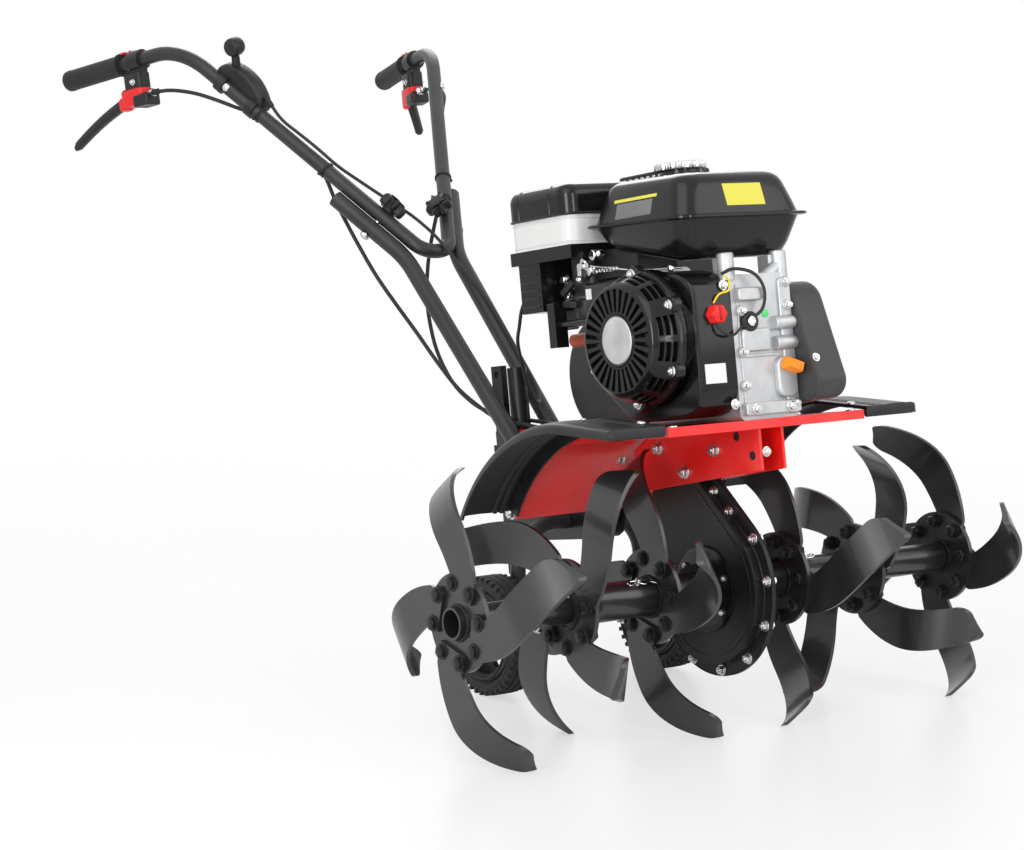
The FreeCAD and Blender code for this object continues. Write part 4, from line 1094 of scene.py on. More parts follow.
@dataclass(frozen=True)
class Fender:
    """A moulded side fender: a grooved sheet with a rolled rim and a thick front edge, and its screws."""

    side: Side
    section: tuple[tuple[float, float], ...] = (
        (0, 0), (16, 0), (18, -2.6), (21, -2.6), (23, 0), (27, 0), (29, -2), (31, -2), (33, 0), (54, 0.9), (72, 0.4),
        (80, -0.8), (85, -3.2), (88.5, -7), (90, -14), (86.5, -14), (84.6, -9), (81, -5), (72, -4), (54, -3.4),
        (34, -4), (32, -7), (28, -7), (26, -4.4), (24, -4.4), (22, -7.6), (17, -7.6), (15, -4), (3, -4))
    skirt: float = 15.0
    lip_depth: float = 15 * MM
    lip_width: float = 9 * MM

    def build(self) -> None:
        """Build the fender on the CAD sheet's own curve."""
        node = f"fender_{self.side.word}"
        skin, box = Skin(node), block(node)
        inner, outer = sorted((box.low.y, box.high.y), key=abs)
        line = self.top_line(skin, inner + (outer - inner) * 0.3, box, 44)
        sheet, screws, rings = Form(), Form(), []
        out = self.side.out
        for index, spot in enumerate(line):
            ahead = (line[min(index + 1, len(line) - 1)] - line[max(index - 1, 0)]).normalized()
            up = Vector((-ahead.z, 0, ahead.x))
            foot = Vector((spot.x, inner, spot.z))
            drop = 4.2 + self.skirt * min(max((0.04 - spot.x) / 0.08, 0), 1)
            rings.append([foot + out * (across * MM) + up * (height * MM)
                          for across, height in (*self.section, (3, -drop), (0, -drop))])
        sheet.skin(rings)
        width, end = self.section[14][0] * MM, line[-1]
        lip = on_side(self.side, end.x - self.lip_width / 2 + 2 * MM, inner, end.z - self.lip_depth / 2 + 0.5 * MM)
        sheet.pad(self.lip_width / 2, self.lip_depth / 2, 4 * MM,
                  [(0, 1.5 * MM), (1.5 * MM, 0), (width - 8 * MM, 0), (width - 3 * MM, 1.2 * MM),
                   (width - 0.6 * MM, 3.4 * MM)], lip)
        for x in mm(-150, -20, 100):
            spot, normal = skin.meet((x, inner + (outer - inner) * 0.09, box.high.z + 0.1), (0, 0, -1))
            screws.lathe(mm((6, 0), (5.8, 1.2), (4.4, 2.6), (2, 3)), facing(spot, normal), 20)
        sheet.piece(f"moulded_fender_{self.side.word}", FENDER_PLASTIC, replaces=[node])
        screws.piece(f"fender_screws_{self.side.word}", ZINC)

    @staticmethod
    def top_line(skin: Skin, across: float, box: Block, steps: int) -> list[Vector]:
        """Follow the fender's upper surface from its rear to its front.

        Args:
            skin: The fender's surface.
            across: Where along Y the line runs.
            box: The fender's box.
            steps: How many steps it takes.

        Returns:
            The line's points.
        """
        line = []
        for step in range(steps + 1):
            share = (1 - math.cos(math.pi * step / steps)) / 2
            x = box.low.x + 4.5 * MM + (box.size.x - 5 * MM) * share
            line.append(skin.meet((x, across, box.high.z + 0.1), (0, 0, -1))[0])
        return line


# ---------------------------------------------------------------- engine

def on_side(side: Side, x: float, y: float, z: float) -> Matrix:
    """Turn a shape's local Z out of a side of the machine.

    Args:
        side: The side it faces.
        x: Where its origin is along the machine.
        y: Where its origin is across.
        z: Where its origin is in height.

    Returns:
        The matrix from the shape's frame to the machine's, with local Y up.
    """
    return Matrix(((-side.value, 0, 0, x), (0, 0, side.value, y), (0, 1, 0, z), (0, 0, 0, 1)))


def on_right(x: float, y: float, z: float) -> Matrix:
    """Turn a shape's local Z out of the machine's right side."""
    return on_side(Side.RIGHT, x, y, z)


def on_front(x: float, y: float, z: float) -> Matrix:
    """Turn a shape's local Z forward, with local X to the left and local Y up."""
    return Matrix(((0, 0, 1, x), (1, 0, 0, y), (0, 1, 0, z), (0, 0, 0, 1)))


def on_top(x: float, y: float, z: float) -> Matrix:
    """Stand a shape upright at a place."""
    return Matrix.Translation((x, y, z))


@dataclass(frozen=True)
class RecoilStarter:
    """The starter cover: a cone with six barred windows, ears between them, and a face of slots round a badge."""

    x: float = 55 * MM
    y: float = -130 * MM
    z: float = 334 * MM
    slots: int = 30
    slot_depth: float = 9 * MM
    first_window: float = -3.0
    window_half: float = 19.5
    groups: int = 6
    ear: float = 83 * MM
    cone: tuple[tuple[float, float], ...] = (
        (88, -3), (88, 2), (87, 4), (85.2, 5.2), (84.6, 8), (82.8, 15), (81.8, 17), (79.8, 23.5), (78.6, 25.5),
        (76, 32), (74.4, 34.5), (72, 38), (69.4, 40), (66.5, 40.8), (66, 40.8), (37, 40.8), (34.5, 40.8),
        (34, 38.5), (25, 38.5))
    window_strips: tuple[int, ...] = (4, 6, 8)
    slot_strip: int = 14

    def build(self) -> None:
        """Build the cover with its ears, then its badge and screws."""
        place = on_right(self.x, self.y, self.z)
        cover, screws = Form(), Form()
        strips = cover.lathe([(radius * MM, height * MM) for radius, height in self.cone], place, self.slots * 4)
        out = place.to_3x3() @ Vector((0, 0, 1))
        for index in range(self.slots):
            faces = strips[self.slot_strip][index * 4:index * 4 + 2]
            cover.sink(faces, -out * self.slot_depth)
        self.open_windows(cover, strips, place)
        for group in range(self.groups):
            turn = math.radians(self.first_window + 30 + 360 / self.groups * group)
            foot = place @ Matrix.Translation((self.ear * math.cos(turn), self.ear * math.sin(turn), 0))
            cover.lathe(mm((12, -2), (12, 9), (10.5, 11)), foot, 28)
            screws.hexagon(foot @ Vector((0, 0, 11 * MM)), (0, -1, 0), *mm(10, 4, 7.5))
        cover.piece("recoil_cover", GLOSS_BLACK, replaces=["recoil_starter"], bevel=0.5 * MM, turn=28)
        screws.piece("recoil_screws", CHROME, bevel=0.3 * MM)
        self.fit_badge(place)

    def open_windows(self, cover: Form, strips: list, place: Matrix) -> None:
        """Sink each group of windows in the cone, with a bar across its middle.

        Args:
            cover: The cover's form.
            strips: Its strips of faces.
            place: The cover's frame.
        """
        steps = self.slots * 4
        for group in range(self.groups):
            centre = self.first_window + 360 / self.groups * group
            turn = math.radians(centre)
            inward = place.to_3x3() @ Vector((math.cos(turn), math.sin(turn), 0)) * -9 * MM
            for low, high in ((centre - self.window_half, centre - 1.5), (centre + 1.5, centre + self.window_half)):
                reach = range(round(low / 360 * steps), round(high / 360 * steps))
                for strip in self.window_strips:
                    cover.sink([strips[strip][step % steps] for step in reach], inward)

    def fit_badge(self, place: Matrix) -> None:
        """Fit the bare silver badge in its raised ring.

        Args:
            place: The cover's frame.
        """
        badge, ring = Form(), Form()
        disc = [(spot.x, spot.y) for spot in circle(31 * MM, 64)]
        badge.prism(disc, mm((36, 0), (40.6, 0), (41.4, 1), (41.9, 3.5)), place)
        ring.loop([place @ Vector((a * 1.05, b * 1.05, 40.4 * MM)) for a, b in disc], 1.5 * MM)
        badge.piece("recoil_badge", BADGE_SILVER)
        ring.piece("recoil_badge_ring", GLOSS_BLACK)


@dataclass(frozen=True)
class FanHousing:
    """The blower housing: a pressed box that runs back over the cylinder, a ridged drum, labels and screws."""

    x: float = 55 * MM
    z: float = 334 * MM
    face: float = -113 * MM
    drum: float = 88.5 * MM
    outline: tuple[tuple[float, float], ...] = (
        (-84, 417), (-86, 330), (-84, 306), (-74, 286), (-20, 240), (0, 229), (20, 226), (104, 226), (122, 230),
        (136, 240), (144, 256), (145, 262), (145, 384), (142, 394), (132, 404), (112, 412), (84, 417))
    ridges: tuple[float, ...] = (-128, -124.4, -120.8, -117.2, -113.6)

    def build(self) -> None:
        """Build the housing and its trim."""
        box, labels, screws = Form(), Form(), Form()
        depth = self.face + 52 * MM
        place = Matrix.Translation((0, -52 * MM, 0)) @ Matrix.Rotation(math.pi / 2, 4, "X")
        outline = [(a * MM, b * MM) for a, b in self.outline]
        box.prism(outline, [(0, 0), (-depth - 7 * MM, 0), (-depth - 3 * MM, 1 * MM), (-depth - 0.8 * MM, 3 * MM),
                            (-depth, 6 * MM)], place)
        round_it = on_right(self.x, self.face, self.z)
        profile = [(self.drum, -3 * MM), (self.drum, 0)]
        for across in self.ridges:
            height = self.face - across * MM
            profile += [(self.drum, height), (self.drum - 1.2 * MM, height + 0.9 * MM),
                        (self.drum - 1.2 * MM, height + 2.2 * MM), (self.drum, height + 2.9 * MM)]
        box.lathe(profile[:-1] + [(self.drum - 2 * MM, 17.5 * MM)], round_it, 120)
        made = box.piece("blower_housing", GLOSS_BLACK, replaces=["fan_housing"], bevel=0.4 * MM, turn=26)
        skin = Skin("fan_housing", made)
        skin.label(labels, (0.2, -87 * MM, 281 * MM), (-1, 0, 0), mm(34, 25))
        skin.label(labels, (-72 * MM, -0.2, 402 * MM), (0, 1, 0), mm(12, 14))
        for y, z in mm((-60, 240), (-63, 392)):
            screws.hexagon((145 * MM, y, z), (1, 0, 0), *mm(9, 5, 7))
        screws.hexagon((-70 * MM, self.face, 300 * MM), (0, -1, 0), *mm(9, 5, 7))
        labels.piece("fan_housing_labels", LABEL_WHITE)
        screws.piece("fan_housing_screws", CHROME, bevel=0.3 * MM)
        self.fit_switch()

    def fit_switch(self) -> None:
        """Fit the lobed red switch and its two wires."""
        box = block("engine_switch")
        knob = Form()
        lobes = [((12 + 0.8 * math.cos(6 * a)) * MM * math.cos(a), (12 + 0.8 * math.cos(6 * a)) * MM * math.sin(a))
                 for a in turns(72)]
        place = on_front(box.low.x, box.middle.y, box.middle.z)
        depth = box.size.x
        knob.prism(lobes, [(0, 0), (depth * 0.8, 0.3 * MM), (depth * 0.95, 1.2 * MM), (depth, 2.4 * MM)], place)
        knob.pad(*mm(2.2, 9, 2), [(depth * 0.7, 0), (depth, 0)], place)
        knob.piece("switch_knob", RED_PLASTIC, replaces=["engine_switch"])
        yellow, black = Form(), Form()
        yellow.tube(smooth_path(mm((146, -82, 370), (151, -75, 381), (154, -62, 385), (149, -56, 398),
                                   (140, -58, 406))), 1.3 * MM, 8)
        black.tube(smooth_path(mm((140, -60, 407), (152, -48, 412), (158, -22, 405), (160, -8, 385), (157, -10, 360),
                                  (150, -26, 346))), 2.2 * MM, 10)
        black.tube(smooth_path(mm((150, -84, 343), (154, -76, 332), (154, -60, 328), (150, -44, 336),
                                  (149, -34, 343))), 1.7 * MM, 10)
        place = on_front(*mm(145, -27, 344))
        black.lathe(mm((13, 0), (13, 6), (11, 8), (8, 8), (7, 4)), place, 28)
        yellow.piece("switch_wire", WIRE_YELLOW)
        black.piece("sensor_wires", GRIP_RUBBER)


@dataclass(frozen=True)
class Crankcase:
    """Cast details of the engine block: gasket line, bosses, foot, drain plug and dipstick."""

    face: float = 145 * MM

    def build(self) -> None:
        """Build the block's details."""
        cast, bolts, bright, orange = Form(), Form(), Form(), Form()
        self.cast_cover(cast, bolts)
        clip = on_front(self.face + 8 * MM, -27 * MM, 344 * MM)
        bright.lathe(mm((6.5, -4), (6.5, 1.5), (4.5, 2.5), (4, 1.5)), clip, 24)
        dot = Form()
        dot.lathe(mm((5.2, 0), (5.2, 1), (4.4, 1.5)), on_front(self.face, 3 * MM, 353 * MM), 28)
        box = block("oil_filler")
        place = on_front(box.low.x, box.middle.y, box.middle.z) @ Matrix.Rotation(-0.35, 4, "Z")
        orange.lathe(mm((9.5, 0), (9.5, 7), (8, 8)), place, 28)
        orange.pad(*mm(13, 8, 2), mm((8, 0), (10, 0), (20, 1), (24, 2.5)), place)
        cast.piece("block_castings", CAST_ALUMINIUM, bevel=1.2 * MM)
        bolts.piece("block_bolts", ZINC, bevel=0.3 * MM)
        bright.piece("sensor_clip", CHROME)
        dot.piece("inspection_dot", DOT_GREEN)
        orange.piece("oil_dipstick", ORANGE_PLASTIC, replaces=["oil_filler"], bevel=0.8 * MM)

    def cast_cover(self, cast: Form, bolts: Form) -> None:
        """Cast the side cover's rim, ribs, bosses and foot, and bolt them.

        Args:
            cast: The form of the castings.
            bolts: The form of the bolts.
        """
        rim = on_front(self.face - 1 * MM, 36 * MM, 310 * MM)
        cast.pad(*mm(10, 88, 6), mm((0, 0), (3.5, 0), (5, 1.2)), rim)
        cast.pad(*mm(1.2, 84, 1), mm((0, 0), (2.2, 0.4)), on_front(self.face, -43 * MM, 308 * MM))
        for z in mm(340, 314):
            boss = facing((self.face + 4 * MM, 12 * MM, z), (0, 1, 0))
            cast.lathe(mm((8, 0), (9, 1.5), (9, 30), (7.6, 34)), boss, 28)
        cast.pad(*mm(21, 9, 4), mm((0, 0), (9, 0.5), (11, 2)), on_front(self.face, -26 * MM, 379 * MM))
        cast.pad(*mm(31, 2.2, 2), mm((0, 0), (3, 0.6)), on_front(self.face, -12 * MM, 300 * MM))
        cast.pad(*mm(24, 15, 4), mm((0, 0), (4, 0.8), (5, 2)), on_front(self.face, -18 * MM, 320 * MM))
        cast.pad(*mm(17, 27, 12), mm((0, 0), (6, 0.8), (8, 3)), on_front(self.face, 27 * MM, 270 * MM))
        cast.pad(*mm(46, 8, 3), mm((0, 0), (9, 0), (10, 1)), on_front(self.face, -3 * MM, 232 * MM))
        for y, z in ((-42, 262), (-42, 305), (-40, 358), (38, 392), (38, 362), (38, 236)):
            cast.lathe(mm((7, 0), (7, 4.5), (6, 5.5)), on_front(self.face, y * MM, z * MM), 22)
            bolts.hexagon((self.face + 5.5 * MM, y * MM, z * MM), (1, 0, 0), *mm(8, 5, 5.6))
        for y in mm(-34, 24):
            bolts.hexagon((self.face + 10 * MM, y, 232 * MM), (1, 0, 0), *mm(10, 6, 7))


@dataclass(frozen=True)
class Cylinder:
    """Cooling fins and head cover of the cylinder."""

    fins: int = 11
    reach: float = 9 * MM

    def build(self) -> None:
        """Build the fins round the barrel and the pressed cover behind it."""
        box = block("cylinder")
        fins, cover = Form(), Form()
        half_y, half_z = box.size.y / 2 + self.reach - 2 * MM, box.size.z / 2 + self.reach - 2 * MM
        for index in range(self.fins):
            x = box.low.x + 24 * MM + index * 8.2 * MM
            place = on_front(x, box.middle.y, box.middle.z)
            fins.pad(half_y, half_z, 12 * MM, mm((0, 0.4), (0.4, 0), (2.2, 0), (2.6, 0.4)), place)
        place = facing((box.low.x + 1 * MM, box.middle.y, box.middle.z), (-1, 0, 0))
        cover.pad(*mm(46, 36, 14), mm((0, 0), (3, 0), (4, 3), (14, 5), (17, 9)), place)
        fins.piece("cylinder_fins", CAST_ALUMINIUM)
        cover.piece("valve_cover", GLOSS_BLACK, bevel=1 * MM)


@dataclass(frozen=True)
class FuelTank:
    """The tank: two pressed shells that meet at a flanged seam, with its labels, ribbed cap, neck and posts."""

    centre: tuple[float, float] = mm(37, -8)
    half: tuple[float, float] = mm(101, 104)
    corner: float = 27 * MM
    seam: float = 482 * MM
    tilt: float = 2.0
    rise: float = 24 * MM
    levels: tuple[tuple[float, float], ...] = (
        (428, 38), (428.6, 29), (431, 22), (436, 17), (446, 12), (461, 7), (475, 2.5), (479, 1), (479.6, -5),
        (480.6, -7.6), (483.4, -7.6), (484.4, -5), (485, 1), (488, 2), (500, 5.5), (514, 10), (526, 14),
        (532, 17.5), (536.5, 23), (539, 31), (540.5, 45), (541.5, 68))

    def build(self) -> None:
        """Build the tank and its trim."""
        tank = Form()
        tilt = (Matrix.Translation((138 * MM, 0, self.seam)) @ Matrix.Rotation(math.radians(self.tilt), 4, "Y")
                @ Matrix.Translation((-138 * MM, 0, -self.seam)))
        rings = []
        for height, inset in self.levels:
            half_x, half_y = (half - inset * MM for half in self.half)
            corner = max(self.corner - max(inset - 16, 0) * MM * 0.4, 8 * MM)
            outline = rounded_box(half_x, half_y, corner, 7)
            rings.append([(self.centre[0] + x, self.centre[1] + y, self.lifted(self.centre[0] + x, height * MM))
                          for x, y in outline])
        tank.skin(rings, tilt)
        made = tank.piece("pressed_tank", GLOSS_BLACK, replaces=["fuel_tank"], turn=50)
        self.stick_labels(Skin("fuel_tank", made))
        self.fit_cap()
        self.fit_posts()

    def lifted(self, x: float, height: float) -> float:
        """Raise the lower shell's floor towards the rear.

        Args:
            x: Where along the machine.
            height: The level's height.

        Returns:
            The raised height.
        """
        share = min(max((90 * MM - x) / (150 * MM), 0), 1)
        return height + self.rise * share * min(max((self.seam - 4 * MM - height) / (50 * MM), 0), 1)

    @staticmethod
    def stick_labels(skin: Skin) -> None:
        """Stick the blank labels on the upper shell.

        Args:
            skin: The tank's surface.
        """
        yellow, grey = Form(), Form()
        skin.label(yellow, (0.4, -3 * MM, 509 * MM), (-1, 0, 0), mm(64, 29))
        skin.label(grey, (32 * MM, -0.4, 503 * MM), (0, 1, 0), mm(74, 20))
        skin.label(yellow, (32 * MM, -0.4, 517 * MM), (0, 1, 0), mm(88, 4))
        yellow.piece("tank_labels_yellow", LABEL_YELLOW)
        grey.piece("tank_label_grey", LABEL_GREY)

    def fit_cap(self) -> None:
        """Press the ribbed cap and the neck's ring under it."""
        box = block("tank_cap")
        cap, neck = Form(), Form()
        place = on_top(box.middle.x, box.middle.y, box.high.z - 4 * MM)
        ribs, depth = 28, 13 * MM
        outline = []
        for a in turns(ribs * 6):
            reach = 35 * MM - (1 + 1 * math.cos(ribs * a)) * MM
            outline.append((reach * math.cos(a), reach * math.sin(a)))
        cap.prism(outline, [mm(1, 0.6), (2.2 * MM, 0), (depth - 3.5 * MM, 0), (depth - 1.6 * MM, 1.4 * MM)], place)
        cap.lathe([(30 * MM, depth - 2.5 * MM), (29 * MM, depth - 0.8 * MM), (24 * MM, depth - 0.2 * MM),
                   (22 * MM, depth - 1.4 * MM), (12 * MM, depth - 1.4 * MM), (9 * MM, depth)], place, 48)
        neck.lathe(mm((36, -14), (33, -11), (29, -9), (28, 1.6), (22, 1.6)), place, 48)
        cap.piece("ribbed_tank_cap", CHROME, replaces=["tank_cap"], bevel=0.25 * MM)
        neck.piece("tank_neck", GLOSS_BLACK)

    def fit_posts(self) -> None:
        """Cast the upright and the slanted post that hold the tank's front edge."""
        posts = Form()
        for y, foot in mm((-48, -42), (40, -8)):
            posts.lathe(mm((11, 0), (11, 34), (9.5, 36)), on_top(136 * MM, y, 398 * MM), 28)
            posts.tube([(133 * MM, foot, 386 * MM), (134 * MM, (foot + y) / 2, 400 * MM), (136 * MM, y, 416 * MM)],
                       9.5 * MM, 24)
        posts.piece("tank_posts", CAST_ALUMINIUM, bevel=1 * MM)


@dataclass(frozen=True)
class AirCleaner:
    """Trim of the air cleaner: ribs on its cover and band, and the carburettor's linkage."""

    def build(self) -> None:
        """Build the air cleaner's trim."""
        box = block("air_cleaner_cover")
        ribs = Form()
        for x in mm(-182, -112):
            ribs.tube([(x, box.low.y + 0.4 * MM, box.low.z + 2 * MM), (x, box.low.y + 0.8 * MM, box.high.z - 13 * MM),
                       (x, box.low.y + 8 * MM, box.high.z - 3 * MM), (x, box.low.y + 24 * MM, box.high.z - 0.8 * MM),
                       (x, box.high.y - 24 * MM, box.high.z - 0.8 * MM)], 1.9 * MM, 8)
        lip = [(box.middle.x + a, box.middle.y + b, box.low.z + 1 * MM)
               for a, b in rounded_box(box.size.x / 2 - 0.2 * MM, box.size.y / 2 - 0.2 * MM, 20 * MM)]
        ribs.loop(lip, 1.8 * MM)
        ribs.piece("air_cleaner_ribs", GLOSS_BLACK)
        band = block("air_cleaner_band")
        rings, lines = Form(), rounded_box(band.size.x / 2, band.size.y / 2, 20 * MM)
        for share in (0.12, 0.88):
            rings.loop([(band.middle.x + a, band.middle.y + b, band.low.z + band.size.z * share) for a, b in lines],
                       1.3 * MM)
        rings.piece("air_cleaner_band_lips", WHITE_PLASTIC)
        self.link_carburettor()
        self.fit_choke()

    def link_carburettor(self) -> None:
        """Fit the carburettor's levers, rods, springs and bowl."""
        bright, cast = Form(), Form()
        cast.lathe(mm((17, 0), (19, 3), (19, 24), (22, 26), (22, 30)), on_top(*mm(-106, -86, 372)), 32)
        cast.lathe(mm((14, 0), (14, 10), (10, 12)), on_right(*mm(-100, -92, 436)), 28)
        bright.pad(*mm(11, 4, 3.5), [(0, 0), (1.6 * MM, 0)], on_right(*mm(-84, -108, 441)))
        bright.pad(*mm(4, 13, 3.5), [(0, 0), (1.6 * MM, 0)], on_right(*mm(-98, -105, 432)))
        bright.tube(mm((-80, -106, 441), (20, -98, 424), (98, -88, 420)), 1.2 * MM, 8)
        coil = [(-60 * MM + 1.3 * MM * t, -112 * MM + 3 * MM * math.cos(t * 1.1), 431 * MM + 3 * MM * math.sin(t * 1.1))
                for t in np.linspace(0, 44, 240)]
        bright.tube(coil, 0.6 * MM, 6)
        for x, z in ((-84, 441), (-98, 424), (98, 420)):
            bright.lathe(mm((4.5, 0), (4.5, 3), (2.5, 5)), on_right(x * MM, -106 * MM, z * MM), 16)
        for x, z, radius, length in ((-62, 453, 7, 16), (-86, 446, 6, 14), (-76, 434, 5, 12), (-140, 428, 5, 10),
                                     (-128, 418, 6, 12), (-136, 404, 5, 9)):
            place = on_right(x * MM, -94 * MM, z * MM)
            bright.lathe([(radius * MM, 0), (radius * MM, length * MM), ((radius - 1.2) * MM, (length + 1) * MM)],
                         place, 20)
            bright.pad((radius + 5) * MM, 3.5 * MM, 3 * MM, [(length * 0.6 * MM, 0), ((length * 0.6 + 1.6) * MM, 0)],
                       place @ Matrix.Rotation(x * 0.2, 4, "Z"))
        cast.piece("carburettor_bowl", DARK_ALLOY, bevel=0.6 * MM)
        bright.piece("carburettor_linkage", CHROME)

    def fit_choke(self) -> None:
        """Fit the ribbed intake box's bars and the choke and fuel levers below the air cleaner."""
        black = Form()
        box = block("air_cleaner_base")
        for index in range(5):
            z = box.low.z + (8 + 11 * index) * MM
            black.tube([(box.low.x + 14 * MM, box.low.y + 5 * MM, z), (box.low.x + 52 * MM, box.low.y + 5 * MM, z)],
                       1.6 * MM, 8)
        black.pad(*mm(16, 5, 4), mm((0, 0), (5, 0.6)), on_right(*mm(-118, -110, 414)) @ Matrix.Rotation(0.5, 4, "Z"))
        black.pad(*mm(16, 5, 4), mm((0, 0), (5, 0.6)), on_right(*mm(-112, -112, 392)) @ Matrix.Rotation(-0.1, 4, "Z"))
        for x, y, z, across, up in ((-48, -84, 440, 52, 19), (-166, -78, 377, 20, 17)):
            black.pad(across * MM, up * MM, 4 * MM, [(0, 0), (2 * MM, 0)], on_right(x * MM, y * MM, z * MM))
        black.piece("choke_and_fuel_levers", BLACK_PLASTIC, bevel=0.5 * MM)


@dataclass(frozen=True)
class Muffler:
    """The muffler's guard of slotted sheet, its outlet and bolts."""

    def build(self) -> None:
        """Build the guard on the muffler's outer face and lid."""
        box = block("muffler")
        guard, bright = Form(), Form()
        place = on_side(Side.LEFT, box.middle.x, box.high.y - 0.5 * MM, box.middle.z)
        half_x, half_z = box.size.x / 2 - 6 * MM, box.size.z / 2 - 8 * MM
        guard.pad(half_x, half_z, 14 * MM, mm((0, 0), (2.5, 0), (4, 1.4)), place)
        for row in range(9):
            for column in (-1, 0, 1):
                slot = place @ Matrix.Translation((column * 30 * MM, (row - 4) * 14 * MM, 3.6 * MM))
                guard.pad(*mm(11, 2.6, 2.5), mm((0, 0), (2, 0.6)), slot)
        bright.lathe(mm((11, 0), (11, 12), (9.5, 12), (9.5, 4)),
                     facing((box.low.x + 1 * MM, box.middle.y, box.high.z - 40 * MM), (-1, 0, 0)), 28)
        for x in (-1, 1):
            bright.hexagon(place @ Vector((x * (half_x - 8 * MM), half_z - 8 * MM, 4 * MM)), (0, 1, 0), *mm(9, 4, 6))
        shield, width = on_top(box.middle.x, box.middle.y, box.high.z + 9 * MM), box.size.y / 2
        guard.pad(box.size.x / 2, width, 12 * MM, mm((-13, 0), (0, 0), (2, 1.5)), shield)
        for step in range(9):
            hole = facing(shield @ Vector(((step - 4) * 13 * MM, -width - 0.2 * MM, -5 * MM)), (0, -1, 0))
            bright.pad(*mm(3.6, 2, 1.9), mm((0, 0), (0.6, 0.4)), hole)
        guard.piece("muffler_guard", GLOSS_BLACK, slot="black_paint", bevel=0.5 * MM)
        bright.piece("muffler_outlet", CHROME)


@dataclass(frozen=True)
class BeltCover:
    """Trim of the belt cover: a stepped rim, a pressed panel and screws."""

    circles: tuple[tuple[float, float, float], ...] = mm((-262, 296, 84.5), (160, 261, 24), (118, 360, 33))
    face: float = 104 * MM

    def build(self) -> None:
        """Build the cover's trim."""
        trim, screws = Form(), Form()
        outer = hull_outline(self.circles, -0.5 * MM, 160)
        trim.loop([(a, 49 * MM, b) for a, b in outer], 2 * MM)
        panel = [(-a, b) for a, b in hull_outline(self.circles, -26 * MM, 160)][::-1]
        trim.prism(panel, mm((0, 0), (1.4, 0), (2.4, 1.6)), on_side(Side.LEFT, 0, self.face - 1 * MM, 0))
        for a, b in mm((150, 290), (-60, 350), (-300, 340), (-60, 250)):
            screws.hexagon((a, self.face + 1.2 * MM, b), (0, 1, 0), *mm(9, 4, 7.5))
        screws.hexagon(mm(175, 56, 291), (0.95, 0, 0.31), *mm(8, 3, 6))
        trim.piece("belt_cover_rim", BELT_PLASTIC)
        screws.piece("belt_cover_screws", ZINC, bevel=0.3 * MM)


# ---------------------------------------------------------------- handlebar

